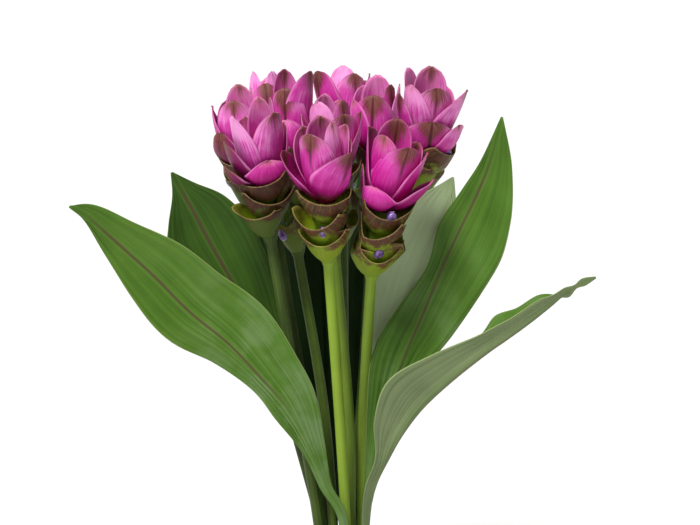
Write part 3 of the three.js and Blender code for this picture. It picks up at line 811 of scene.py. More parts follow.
@dataclass(frozen=True)
class PouchFinish:
    """Green pouch bracts: yellow-green, with mottled maroon upper parts and thin tan rims."""

    # Painted shade: the dark green that pouches on the darker heads shade into.
    deep: Colour = (0.030, 0.050, 0.012)
    foot: Colour = (0.15, 0.22, 0.030)
    body: Colour = (0.15, 0.20, 0.020)
    inside: Colour = (0.27, 0.37, 0.008)
    maroon: Colour = (0.045, 0.011, 0.010)
    rust: Colour = (0.110, 0.033, 0.022)
    tan: Colour = (0.33, 0.23, 0.10)
    seed_step: float = 5.1
    line: Grain = Grain(13.0, 1.1, 3.0, 0.6)
    fine: Grain = Grain(40.0, 4.0, 3.0, 0.7)
    cloud: Cloud = Cloud(110.0, 3.0, 0.6)
    foot_end: Span = (0.1, 0.7)
    painted_light_span: Span = (0.0, 1.0)
    bright_line: Span = (0.45, 0.75)
    bright_share: float = 0.35
    edge_lift: float = 0.28
    cloud_lift: float = 1.3
    grain_lift: float = 0.35
    brown_lift: float = 0.6
    stain_edge: Span = (0.92, 1.26)
    stain_outside: float = 0.3
    stain_inside: float = 0.66
    stain_gap: Span = (0.5, 0.72)
    stain_gap_share: float = 0.4
    mottle: Span = (0.35, 0.65)
    mottle_pull: float = 0.8
    shaded_tone: Span = (-1.0, 0.0)
    shaded_outside: float = 0.55
    shaded_inside: float = 0.25
    shaded_maroon: float = 0.7
    rim: Span = (0.965, 0.995)
    side_rim: Span = (0.95, 0.995)
    side_rim_start: Span = (0.7, 0.9)
    rim_grain: Span = (0.3, 0.7)
    rim_share: float = 0.75
    roughness: float = 0.46
    rough_pull: float = 0.25
    fine_relief: float = 0.5
    relief: Relief = Relief(0.0005, 0.4)

    def material(self) -> Material:
        """Make the pouches' material.

        Returns:
            The material.
        """
        n = BractNodes("pouch", self.seed_step, self.line, self.fine, self.cloud)
        # Painted shade: pouches on heads with low values are darkened, their outsides most, and their stains
        # turn maroon.
        darker = n.add(n.times(n.side, self.shaded_outside), self.shaded_inside)
        shaded = n.times(n.fall(n.tone, self.shaded_tone), darker)
        mottle = n.rise(n.add(n.fine, n.sway(n.cloud, self.mottle_pull)), self.mottle)
        dark = n.blend(mottle, self.maroon, self.rust)
        dark = n.blend(n.times(shaded, self.shaded_maroon), dark, self.maroon)
        colour = n.blend(self.stain(n), n.blend(shaded, self.green(n), self.deep), dark)
        side_rim = n.times(n.rise(n.off_middle, self.side_rim), n.rise(n.along, self.side_rim_start))
        rim = n.math("MAXIMUM", n.rise(n.along, self.rim), side_rim)
        colour = n.blend(n.times(rim, n.rise(n.fine, self.rim_grain), self.rim_share), colour, self.tan)
        rough = n.add(n.sway(n.cloud, self.rough_pull), self.roughness)
        n.finish(colour, rough, n.add(n.line, n.times(n.fine, self.fine_relief)), self.relief)
        n.set(subsurface_weight=0.08, subsurface_scale=0.002, specular_ior_level=0.17)
        return n.material

    def green(self, n: BractNodes) -> Socket:
        """Colour the green: brighter inside and along its lines, and with painted light on heads with high
        values.

        Args:
            n: The material's nodes.

        Returns:
            The colour.
        """
        outside = n.blend(n.rise(n.along, self.foot_end), self.foot, self.body)
        # Painted light: the outsides of pouches on heads with high values are lightened towards the inside
        # green.
        outside = n.blend(n.times(n.rise(n.tone, self.painted_light_span), self.bright_share), outside, self.inside)
        green = n.blend(n.side, self.inside, outside)
        return n.blend(n.times(n.rise(n.line, self.bright_line), self.bright_share), green, self.inside)

    def stain(self, n: BractNodes) -> Socket:
        """Spread the dark stain, which is strongest near the rim and has gaps along the lines.

        Args:
            n: The material's nodes.

        Returns:
            How much of it a place has.
        """
        height = n.add(n.along, n.times(n.off_middle, self.edge_lift), n.sway(n.cloud, self.cloud_lift))
        height = n.add(height, n.times(n.less(n.add(n.line, n.fine), 1.0), self.grain_lift))
        stain = n.rise(n.add(height, n.times(n.brown, self.brown_lift)), self.stain_edge)
        most = n.add(n.times(n.side, self.stain_outside), self.stain_inside)
        return n.times(stain, n.less(most, n.times(n.rise(n.line, self.stain_gap), self.stain_gap_share)))


@dataclass(frozen=True)
class StemFinish:
    """Bare stems: yellow-green with fine lengthwise lines, with painted shade on the darker stems and
    painted light on the brighter ones.
    """

    bright: Colour = (0.24, 0.36, 0.030)
    plain: Colour = (0.12, 0.19, 0.022)
    # Painted shade: the dark green of stems with low values.
    deep: Colour = (0.020, 0.036, 0.007)
    seed_step: float = 3.7
    line: Cloud = Cloud(1.0, 3.0, 0.6)
    lines: float = 9.0
    line_length: float = 5.0
    cloud: Cloud = Cloud(45.0)
    middle_shade: float = 0.5
    tone_pull: float = 0.5
    line_pull: float = 0.7
    cloud_pull: float = 0.3
    roughness: float = 0.5
    relief: Relief = Relief(0.0003, 0.3)

    def material(self) -> Material:
        """Make the stems' material, whose value across is the turn round the stem.

        Returns:
            The material.
        """
        n = PlantNodes("stem", self.seed_step)
        round_x = n.times(n.math("SINE", n.across), self.lines)
        round_y = n.times(n.math("COSINE", n.across), self.lines)
        height = n.add(n.times(n.along, self.line_length), n.seed)
        line = n.noise(n.vector(round_x, round_y, height), self.line)
        cloud = n.noise(n.place(), self.cloud)
        shade = n.add(n.times(n.tone, self.tone_pull), self.middle_shade, n.sway(line, self.line_pull))
        shade = n.add(shade, n.sway(cloud, self.cloud_pull))
        colour = n.ramp(shade, [(0.0, self.deep), (0.5, self.plain), (1.0, self.bright)])
        n.finish(colour, self.roughness, line, self.relief)
        n.set(subsurface_weight=0.05, subsurface_scale=0.002, specular_ior_level=0.2)
        return n.material


class LeafNodes(SheetNodes):
    """The nodes of a blade's finish: its half width, its slanted veins and pleats and its clouds."""

    def __init__(self, name: str, finish: "LeafFinish") -> None:
        """Make the noises.

        Args:
            name: The material's name.
            finish: The finish, which has their sizes.
        """
        super().__init__(name, finish.seed_step)
        self.wide = self.value("wide")
        slanted = self.less(self.times(self.off_middle, finish.veins), self.times(self.along, finish.slant))
        self.line = self.drawn_out(slanted, self.along, finish.vein)
        self.pleat = self.drawn_out(slanted, self.along, finish.pleat)
        self.cloud = self.noise(self.place(), finish.cloud)
        self.from_rib = self.times(self.off_middle, self.wide)


@dataclass(frozen=True)
class LeafFinish:
    """Blades: mid green above, grey-green below, with parallel veins and a maroon midrib.

    The spans of the rib and of the band beside it are in millimetres from the middle line.
    """

    # Painted shade: the near-black green of leaves deep in the bunch.
    deep: Colour = (0.004, 0.018, 0.0005)
    upper: Colour = (0.062, 0.142, 0.014)
    light: Colour = (0.125, 0.225, 0.034)
    under: Colour = (0.185, 0.235, 0.105)
    under_line: Colour = (0.110, 0.155, 0.06)
    under_painted_light: Colour = (0.38, 0.48, 0.27)
    # Painted sheen, laid on the upper side in patches.
    painted_sheen: Colour = (0.22, 0.29, 0.17)
    maroon: Colour = (0.085, 0.045, 0.03)
    margin: Colour = (0.32, 0.38, 0.16)
    seed_step: float = 9.1
    veins: float = 34.0
    slant: float = 11.0
    vein: Grain = Grain(1.0, 2.0, 3.0, 0.7)
    pleat: Grain = Grain(0.28, 1.0, 1.0)
    cloud: Cloud = Cloud(28.0)
    middle_shade: float = 0.5
    tone_pull: float = 0.5
    vein_pull: float = 0.55
    cloud_pull: float = 0.45
    shaded_evenness: float = 0.8
    ragged: float = 0.5
    under_mottle: Span = (0.3, 0.65)
    under_lit_tone: Span = (0.0, 1.0)
    under_lit: float = 0.9
    under_end: Span = (0.78, 1.0)
    under_end_share: float = 0.6
    sheen_edge: Span = (0.42, 0.62)
    sheen_end: Span = (0.4, 0.8)
    sheen_tone: Span = (-0.4, 0.2)
    sheen_share: float = 0.32
    rib: Span = (0.55, 1.5)
    rib_start: Span = (0.3, 0.48)
    rib_end: Span = (0.82, 0.95)
    rib_above: float = 0.6
    rib_least: float = 0.25
    beside_start: Span = (1.0, 1.6)
    beside_end: Span = (1.8, 3.6)
    beside_share: float = 0.22
    edge: Span = (0.975, 0.995)
    edge_width: Span = (4.0, 9.0)
    edge_tone: Span = (-1.0, -0.1)
    edge_share: float = 0.55
    roughness: float = 0.4
    under_roughness: float = 0.14
    shaded_roughness: float = 0.35
    rough_pull: float = 0.25
    vein_relief: float = 0.5
    relief: Relief = Relief(0.0011, 0.4)

    def material(self) -> Material:
        """Make the leaves' material.

        Returns:
            The material.
        """
        n = LeafNodes("leaf", self)
        colour = n.blend(n.side, self.below(n), self.above(n))
        colour = n.blend(self.rib_share(n), colour, self.maroon)
        beside = n.times(n.rise(n.from_rib, self.beside_start), n.fall(n.from_rib, self.beside_end))
        colour = n.blend(n.times(beside, self.beside_share), colour, self.light)
        edge = n.times(n.rise(n.off_middle, self.edge), n.rise(n.wide, self.edge_width))
        edge = n.times(edge, n.rise(n.tone, self.edge_tone), self.edge_share)
        colour = n.blend(edge, colour, self.margin)
        side_rough = n.less(self.roughness + self.under_roughness, n.times(n.side, self.under_roughness))
        rough = n.add(n.sway(n.cloud, self.rough_pull), side_rough)
        rough = n.less(rough, n.times(self.shaded(n), self.shaded_roughness))
        n.finish(colour, rough, n.add(n.times(n.line, self.vein_relief), n.pleat), self.relief)
        n.set(subsurface_weight=0.06, subsurface_scale=0.002, specular_ior_level=0.16)
        return n.material

    def shaded(self, n: LeafNodes) -> Socket:
        """Return the value where it is under nothing, which paints shade on leaves deep in the bunch."""
        return n.math("MINIMUM", n.tone, 0.0)

    def above(self, n: LeafNodes) -> Socket:
        """Colour the upper side: green, darker with painted shade, with a painted grey sheen in patches low
        on the blade.

        Args:
            n: The material's nodes.

        Returns:
            The colour.
        """
        spread = n.times(n.less(n.add(n.cloud, n.pleat), 1.0), self.cloud_pull)
        spread = n.add(n.sway(n.line, self.vein_pull), spread)
        # Painted shade: leaves with low values are painted darker and more even.
        spread = n.times(spread, n.add(n.times(self.shaded(n), self.shaded_evenness), 1.0))
        shade = n.add(n.times(n.tone, self.tone_pull), self.middle_shade, spread)
        above = n.ramp(shade, [(0.0, self.deep), (0.5, self.upper), (1.0, self.light)])
        # Painted sheen: grey patches low on the blade, fewer on leaves in painted shade.
        patches = n.rise(n.add(n.cloud, n.sway(n.line, self.ragged)), self.sheen_edge)
        sheened = n.times(patches, n.fall(n.along, self.sheen_end), n.rise(n.tone, self.sheen_tone))
        return n.blend(n.times(sheened, self.sheen_share), above, self.painted_sheen)

    def below(self, n: LeafNodes) -> Socket:
        """Colour the under side: grey-green, with painted light that makes it paler on leaves with high
        values, less at the tip.

        Args:
            n: The material's nodes.

        Returns:
            The colour.
        """
        mottle = n.rise(n.add(n.line, n.sway(n.cloud, self.ragged)), self.under_mottle)
        below = n.blend(mottle, self.under_line, self.under)
        # Painted light: the under sides of leaves with high values are paled, less towards the tip.
        lit = n.less(self.under_lit, n.times(n.rise(n.along, self.under_end), self.under_end_share))
        return n.blend(n.times(n.rise(n.tone, self.under_lit_tone), lit), below, self.under_painted_light)

    def rib_share(self, n: LeafNodes) -> Socket:
        """Draw the maroon midrib, which fades at both ends and on the under side.

        Args:
            n: The material's nodes.

        Returns:
            How much of it a place has.
        """
        rib = n.fall(n.add(n.from_rib, n.sway(n.line, self.ragged)), self.rib)
        rib = n.times(rib, n.rise(n.along, self.rib_start), n.fall(n.along, self.rib_end))
        return n.times(rib, n.add(n.times(n.side, self.rib_above), self.rib_least))


@dataclass(frozen=True)
class FloretFinish:
    """Florets: violet lobes with pale lilac edges and a white foot."""

    violet: Colour = (0.055, 0.016, 0.13)
    lilac: Colour = (0.26, 0.15, 0.42)
    white: Colour = (0.70, 0.60, 0.76)
    speck: Cloud = Cloud(420.0, 3.0, 0.6)
    speck_pull: float = 0.9
    roughness: float = 0.2
    relief: Relief = Relief(0.0006, 0.5)

    def material(self) -> Material:
        """Make the florets' material.

        Returns:
            The material.
        """
        n = Nodes("floret")
        speck = n.noise(n.place(), self.speck)
        shade = n.add(n.value("along"), n.sway(speck, self.speck_pull))
        stops = [(0.0, self.white), (0.35, self.lilac), (0.62, self.violet), (1.0, self.lilac)]
        n.finish(n.ramp(shade, stops), self.roughness, speck, self.relief)
        n.set(subsurface_weight=0.15, subsurface_scale=0.002)
        return n.material


@dataclass(frozen=True)
class ClayFinish:
    """Unglazed clay: warm orange-brown, faintly mottled, with a chalky bloom towards the foot."""

    warm: Colour = (0.42, 0.155, 0.075)
    light: Colour = (0.53, 0.24, 0.14)
    dark: Colour = (0.27, 0.095, 0.05)
    chalk: Colour = (0.60, 0.42, 0.32)
    broad: Cloud = Cloud(14.0, 4.0, 0.6)
    grain: Cloud = Cloud(520.0, 4.0, 0.6)
    band: Cloud = Cloud(160.0)
    grain_pull: float = 0.8
    band_pull: float = 0.35
    bloom_height: float = 9.0
    bloom_wander: float = 2.4
    bloom_edge: Span = (-0.1, 0.9)
    bloom_grain: Span = (0.35, 0.6)
    bloom_share: float = 0.4
    grain_relief: float = 0.5
    band_relief: float = 0.35
    broad_relief: float = 0.4
    roughness: float = 0.86
    rough_pull: float = 0.15
    relief: Relief = Relief(0.0008, 0.35)

    def material(self) -> Material:
        """Make the pot's material.

        Returns:
            The material.
        """
        n = Nodes("clay")
        broad = n.noise(n.place(), self.broad)
        grain = n.noise(n.place(), self.grain)
        band = n.noise(n.vector(0.0, 0.0, n.height()), self.band)
        shade = n.add(n.sway(grain, self.grain_pull), broad, n.sway(band, self.band_pull))
        colour = n.ramp(shade, [(0.2, self.dark), (0.5, self.warm), (0.8, self.light)])
        height = n.add(n.times(n.height(), self.bloom_height), n.sway(broad, self.bloom_wander))
        bloom = n.times(n.fall(height, self.bloom_edge), n.rise(grain, self.bloom_grain))
        colour = n.blend(n.times(bloom, self.bloom_share), colour, self.chalk)
        relief = n.add(n.times(grain, self.grain_relief), n.times(band, self.band_relief))
        relief = n.add(relief, n.times(broad, self.broad_relief))
        n.finish(colour, n.add(n.sway(grain, self.rough_pull), self.roughness), relief, self.relief)
        return n.material


@dataclass(frozen=True)
class SoilFinish:
    """Potting mix: dark crumbs of peat with lighter bark."""

    peat: Colour = (0.022, 0.013, 0.009)
    crumb: Colour = (0.06, 0.036, 0.022)
    bark: Colour = (0.15, 0.088, 0.048)
    lump: Cloud = Cloud(260.0, 5.0, 0.7)
    patch: Cloud = Cloud(70.0)
    patch_pull: float = 0.7
    tone_pull: float = 0.3
    roughness: float = 0.93
    relief: Relief = Relief(0.0025, 0.8)

    def material(self) -> Material:
        """Make the soil's material.

        Returns:
            The material.
        """
        n = Nodes("soil")
        lump = n.noise(n.place(), self.lump)
        patch = n.noise(n.place(), self.patch)
        shade = n.add(lump, n.sway(patch, self.patch_pull), n.times(n.value("tone"), self.tone_pull))
        colour = n.ramp(shade, [(0.3, self.peat), (0.58, self.crumb), (0.85, self.bark)])
        n.finish(colour, self.roughness, lump, self.relief)
        return n.material


@dataclass(frozen=True)
class FloorFinish:
    """A pale, matt studio floor."""

    pale: Colour = (0.73, 0.73, 0.727)
    paler: Colour = (0.76, 0.76, 0.757)
    cloud: Cloud = Cloud(0.7, 2.0)
    roughness: float = 0.9
    relief: Relief = Relief(0.0001, 0.05)

    def material(self) -> Material:
        """Make the floor's material.

        Returns:
            The material.
        """
        n = Nodes("floor")
        cloud = n.noise(n.place(), self.cloud)
        n.finish(n.blend(cloud, self.pale, self.paler), self.roughness, cloud, self.relief)
        return n.material


# The plant's plan


@dataclass(frozen=True)
class Bract:
    """One pink bract of a head: its place and size, how brown its tip is and how pale its pink, partly
    painted light and shade.

    A bract that leans has its tip that far, in millimetres, towards a greater turn.
    """

    turn: float
    tip_reach: float
    tip_height: float
    half_width: float
    brown: float = 0.3
    # Partly painted light and shade: low values deepen the pink, high values pale it.
    tone: float = 0.0
    lean: float = 0.0


@dataclass(frozen=True)
class Cup:
    """One green pouch of a head: its turn from the front, its foot's height and how wide it is.

    Its rim dips in the middle, and flares at its corners, by so many millimetres.
    """

    turn: float
    foot: float
    size: float = 0.8
    dip: float = 5.0
    flare: float = 2.5


@dataclass(frozen=True)
class Head:
    """A flower head and its stem: where they stand, its green cups, lowest first, and its bracts."""

    base: Place
    crown: Place
    coma: float
    soil: tuple[float, float]
    bend: Place
    cups: tuple[Cup, ...]
    bracts: tuple[Bract, ...]
    # Partly the head's own colour and partly painted light and shade: low values darken, and high values
    # lighten, its bracts (first) and its stem and pouches (second).
    tone: float = 0.0
    stem_tone_and_painted_light: float = 0.0
    foot_z: float = 91.0
    upright_z: float = 150.0
    lead: float = 14.0

    @property
    def pouch(self) -> float:
        """Length of the green part."""
        return float(np.linalg.norm(np.subtract(self.crown, self.base))) - self.coma

    @property
    def up(self) -> Array:
        """Direction of the head's axis."""
        return unit(np.subtract(self.crown, self.base))

    @property
    def right(self) -> Array:
        """Direction across the axis, to the right."""
        return unit(RIGHT - self.up * self.up[0])

    @property
    def back(self) -> Array:
        """Direction across the axis, to the back."""
        return np.cross(self.up, self.right)

    @property
    def stem_rows(self) -> list[Sequence[float]]:
        """Places that the stem passes, from the soil into the head."""
        foot, upright = (*self.soil, self.foot_z), (*self.soil, self.upright_z)
        return [foot, upright, self.bend, self.base, tuple(self.at(self.lead))]

    def outward(self, turn: float) -> Array:
        """Return the direction out of the axis at a turn from the front, in degrees."""
        angle = radians(turn)
        return self.right * sin(angle) - self.back * cos(angle)

    def at(self, height: float | Array, reach: float = 0.0, turn: float = 0.0) -> Array:
        """Return a place at a height above the base, at a reach from the axis."""
        rise = np.multiply.outer(height, self.up)
        return np.asarray(self.base) + rise + self.outward(turn) * reach


class Crowd:
    """Keeps each head inside the room that its neighbours leave it."""

    STEM_REACH = 5.5
    HEAD_REACH = 27.0
    SWELL = 18.0
    CROWN_REACH = 17.0
    CROWN_DEPTH = 30.0
    CROWN_END = 15.0
    MARGIN = 1.1
    SOFTNESS = 5.0
    ROUNDS = 3
    BASE_SHARE = 0.75
    SAMPLES = 160

    def __init__(self, heads: Mapping[str, Head]) -> None:
        """Note every head and the course of its stem.

        Args:
            heads: The heads, by their letters.
        """
        self.heads = heads
        shares = np.linspace(0, self.BASE_SHARE, self.SAMPLES)
        self.stems = {name: curve_at(head.stem_rows, shares) for name, head in heads.items()}

    def station(self, name: str, height: Array) -> tuple[Array, Array, Array]:
        """Find a head's or its stem's middle.

        Args:
            name: The head's name.
            height: Heights above the pot's foot.

        Returns:
            The middle's x and y and how far the head or stem reaches, at each height.
        """
        head, stem = self.heads[name], self.stems[name]
        above = height - head.base[2]
        total = head.crown[2] - head.base[2]
        share = np.clip(above / total, 0, 1)
        below = above < 0
        in_stem = [np.interp(height, stem[:, 2], stem[:, axis]) for axis in (0, 1)]
        in_head = [mix(head.base[axis], head.crown[axis], share) for axis in (0, 1)]
        x, y = (np.where(below, low, high) for low, high in zip(in_stem, in_head, strict=True))
        swell = mix(self.STEM_REACH, self.HEAD_REACH, np.clip(above / self.SWELL, 0, 1))
        top = np.clip((above - total + self.CROWN_DEPTH) / self.CROWN_DEPTH, 0, 1)
        narrow = mix(self.HEAD_REACH, self.CROWN_REACH, top)
        ending = np.clip(1 - (above - total) / self.CROWN_END, 0, 1)
        reach = np.where(below, self.STEM_REACH, np.minimum(swell, narrow) * ending)
        return x, y, reach

    def squeeze(self, name: str, points: Array, inset: float) -> Array:
        """Move a head's points back inside its room.

        Args:
            name: The head's name.
            points: The points, with coordinates last.
            inset: How far inside its room the points stay.

        Returns:
            The moved points.
        """
        moved = points.copy()
        height = points[..., 2]
        x, y, own = self.station(name, height)
        for other in [key for key in self.heads if key != name] * self.ROUNDS:
            other_x, other_y, theirs = self.station(other, height)
            apart = np.hypot(other_x - x, other_y - y)
            toward_x, toward_y = (other_x - x) / apart, (other_y - y) / apart
            share = own / np.maximum(own + theirs, 1e-6)
            start = apart * share - self.MARGIN - inset - self.SOFTNESS
            reach = (moved[..., 0] - x) * toward_x + (moved[..., 1] - y) * toward_y
            allowed = start + self.SOFTNESS * (1 - np.exp(np.minimum(start - reach, 0) / self.SOFTNESS))
            push = np.where((reach > start) & (theirs > 0), allowed - reach, 0)
            moved[..., 0] += push * toward_x
            moved[..., 1] += push * toward_y
        return moved


# The plant's parts


@dataclass(frozen=True)
class Outline:
    """How wide a bract is along it: it swells from its foot, then narrows to a point or a blunt rim."""

    widest: float
    foot: float
    point: float = 0.0
    loss: float = 0.0
    least: float = 0.0

    def width(self, t: Array) -> Array:
        """Find the width along a bract.

        Args:
            t: Places along it, from 0 to 1.

        Returns:
            The width at each place, as a share of the greatest.
        """
        swell = mix(self.foot, 1, np.sin(pi / 2 * np.minimum(1, t / self.widest)))
        past = np.maximum(0, (t - self.widest) / (1 - self.widest))
        return np.maximum(swell * (1 - past * past) ** self.point * (1 - self.loss * t**5), self.least)


@dataclass(frozen=True)
class Weave:
    """How finely a bract is meshed: its rows along it and its columns across it."""

    rows: int
    columns: int
    crowding: float = 0.85

    @property
    def along(self) -> Array:
        """Places of the rows, closer together towards the tip."""
        return np.linspace(0, 1, self.rows) ** self.crowding

    @property
    def across(self) -> Array:
        """Places of the columns, closer together towards the edges."""
        return crowded_ends(self.columns, self.crowding)


@dataclass(frozen=True)
class Shell:
    """The shape of a bract that grows from a head's axis and wraps round it.

    Its middle line is a cubic of reach from the axis and height above the head's base.
    """

    RIPPLE_TURN = 0.11
    RIPPLE_SPLIT = 2.2
    CREASE_WIDTH = 0.16
    CREASE_START = (0.35, 0.95)
    CURL_START = (0.3, 0.9)
    FLARE_START = (0.55, 1.0)
    FLARE_ACROSS = (0.35, 1.0)
    DIP_START = (0.2, 1.0)
    CORNER_RISE = 1.5
    MIDDLE_DROP = 0.55

    turn: float
    reach: tuple[float, float, float, float]
    height: tuple[float, float, float, float]
    half_width: float
    outline: Outline
    inset: float
    ripple: float
    ripples: float
    crease: float
    curl: float = 0.5
    lean: float = 0.0
    dip: float = 0.0
    flare: float = 0.0
    thickness: float = 0.5
    edge_thickness: float = 0.22
    least_bend: Span = (6.0, 6.0)

    def lift(self, t: Array, u: Array) -> Array:
        """Find how far ripples, curled edges, the crease and the flare lift the shell outward.

        Args:
            t: Places along the shell, from 0 to 1.
            u: Places across it, from -1 to 1.

        Returns:
            The lift, as rows and columns.
        """
        along, across = t[:, None], np.abs(u)[None]
        phase = self.turn * self.RIPPLE_TURN + self.RIPPLE_SPLIT * np.sign(u)[None]
        ripple = self.ripple * np.sin(tau * self.ripples * along + phase) * across**2 * along
        curl = self.curl * across**4 * smoothstep(along, *self.CURL_START)
        groove = np.exp(-((across / self.CREASE_WIDTH) ** 2))
        crease = self.crease * groove * smoothstep(along, *self.CREASE_START)
        flare = self.flare * smoothstep(across, *self.FLARE_ACROSS) * smoothstep(along, *self.FLARE_START)
        return ripple + curl - crease + flare

    def grid(self, head: Head, name: str, crowd: Crowd, t: Array, u: Array) -> Array:
        """Lay the shell's middle surface.

        Args:
            head: The head that it grows on.
            name: The head's letter.
            crowd: The room that the heads leave each other.
            t: Places along the shell, from 0 to 1.
            u: Places across it, from -1 to 1.

        Returns:
            Points as rows along it, columns across it and coordinates.
        """
        out = head.outward(self.turn)
        side = unit(np.cross(out, head.up))
        r, h = bezier(self.reach, t), bezier(self.height, t)
        dr, dh = bezier_slope(self.reach, t), bezier_slope(self.height, t)
        normal = (np.outer(dh, out) - np.outer(dr, head.up)) / np.hypot(dr, dh)[:, None]
        centre = np.asarray(head.base) + np.outer(h, head.up) + np.outer(r, out)
        centre = centre - np.outer(self.lean * t**2, side)
        bend = np.maximum(r, mix(*self.least_bend, t))[:, None]
        angle = u[None] * (self.half_width * self.outline.width(t))[:, None] / bend
        points = centre[:, None] + side * (bend * np.sin(angle))[..., None]
        points = points + normal[:, None] * (self.lift(t, u) - bend * (1 - np.cos(angle)))[..., None]
        rise = self.dip * (self.CORNER_RISE * u[None] ** 2 - self.MIDDLE_DROP)
        rise = rise * smoothstep(t, *self.DIP_START)[:, None]
        points = points + np.multiply.outer(rise, head.up)
        return crowd.squeeze(name, points, self.inset)

    def half(self, t: Array, u: Array) -> Array:
        """Return half the shell's thickness, thinner towards its edges and its tip."""
        rest = np.maximum(1 - np.abs(u)[None] ** 5, 0) * np.maximum(1 - t[:, None] ** 8, 0)
        return mix(self.edge_thickness, self.thickness, rest)


@dataclass(frozen=True)
class HeadPart:
    """A part of a head that is made of bracts, with the head's letter."""

    name: str
    head: Head

    def add_shell(
        self,
        draft: MeshDraft,
        shell: Shell,
        crowd: Crowd,
        weave: Weave,
        values: Mapping[str, float],
        finish: int = 0,
    ) -> None:
        """Add a bract.

        Args:
            draft: The piece that it belongs to.
            shell: The bract's shape.
            crowd: The room that the heads leave each other.
            weave: How finely it is meshed.
            values: Its own values for the finishes.
            finish: Which of the piece's finishes it has.
        """
        t, u = weave.along, weave.across
        points, faces = sheet(shell.grid(self.head, self.name, crowd, t, u), shell.half(t, u))
        draft.add(points, faces, sheet_values(t, u, Side.SHOWN) | values, finish)

    def seed(self, step: float, number: int = 0) -> float:
        """Return a number of its own for each bract of each head."""
        return number + step * ord(self.name)


@dataclass(frozen=True)
class Bloom(HeadPart):
    """The pink part of a head: spirally set bracts on a slim core.

    The core is in rows of height above the green part and radius, and its top is given by how far it
    is from the crown.
    """

    OUTLINE = Outline(widest=0.52, foot=0.5, point=0.52, least=0.08)
    WEAVE = Weave(rows=22, columns=15)

    fullness: float = 1.1
    root: float = 6.0
    belly: float = 30.0
    belly_loss: float = 0.27
    least_belly: float = 12.5
    foot_lift: float = 0.12
    foot_drop: float = 3.0
    least_foot: float = 1.0
    low_reach: float = 0.95
    low_rise: float = 0.1
    high_share: float = 0.4
    high_bulge: float = 3.5
    high_rise: float = 0.62
    free_belly: float = 24.0
    inset: float = 0.28
    seed_step: float = 0.37
    core: tuple[Span, ...] = ((0.3, 7), (16, 6.5))
    core_top: Span = (-26, 4)
    core_sides: int = 12

    def shell(self, bract: Bract) -> Shell:
        """Shape a bract: the lower its tip, the wider it bellies and the lower it starts.

        Args:
            bract: The bract.

        Returns:
            Its shape.
        """
        belly = max(self.belly - self.belly_loss * bract.tip_height, self.least_belly)
        high_reach = mix(belly, bract.tip_reach, self.high_share) + self.high_bulge
        foot = max(self.foot_lift * bract.tip_height - self.foot_drop, self.least_foot)
        rise = bract.tip_height - foot
        start = self.head.pouch + foot
        return Shell(
            turn=bract.turn,
            reach=(self.root, belly * self.low_reach, high_reach, bract.tip_reach),
            height=(start, start + self.low_rise * rise, start + self.high_rise * rise, start + rise),
            half_width=bract.half_width * self.fullness,
            outline=self.OUTLINE,
            inset=(self.free_belly - belly) * self.inset,
            ripple=0.7,
            ripples=1.6,
            crease=0.7,
            lean=bract.lean,
            least_bend=(6, 15),
        )

    def build(self, crowd: Crowd, petal: Material) -> Object:
        """Build the bracts and their core.

        Args:
            crowd: The room that the heads leave each other.
            petal: The bracts' material.

        Returns:
            The piece.
        """
        draft = MeshDraft(f"Bloom_{self.name}")
        top_height, top_radius = self.core_top
        heights, radii = np.array([*self.core, (self.head.coma + top_height, top_radius)]).T
        middles = self.head.at(self.head.pouch + heights)
        rings = ring_points(middles, self.head.up, self.head.right, radii, self.core_sides)
        draft.add(*tube(rings), {"along": 0.0, "across": 0.5, "side": 1.0, "brown": 0.0, "tone": -1.0})
        for k, bract in enumerate(self.head.bracts):
            # Each bract's value adds to its head's; both are partly painted light and shade.
            tone = bract.tone + self.head.tone
            values = {"brown": bract.brown, "tone": tone, "seed": self.seed(self.seed_step, k)}
            self.add_shell(draft, self.shell(bract), crowd, self.WEAVE, values)
        return draft.build([petal])


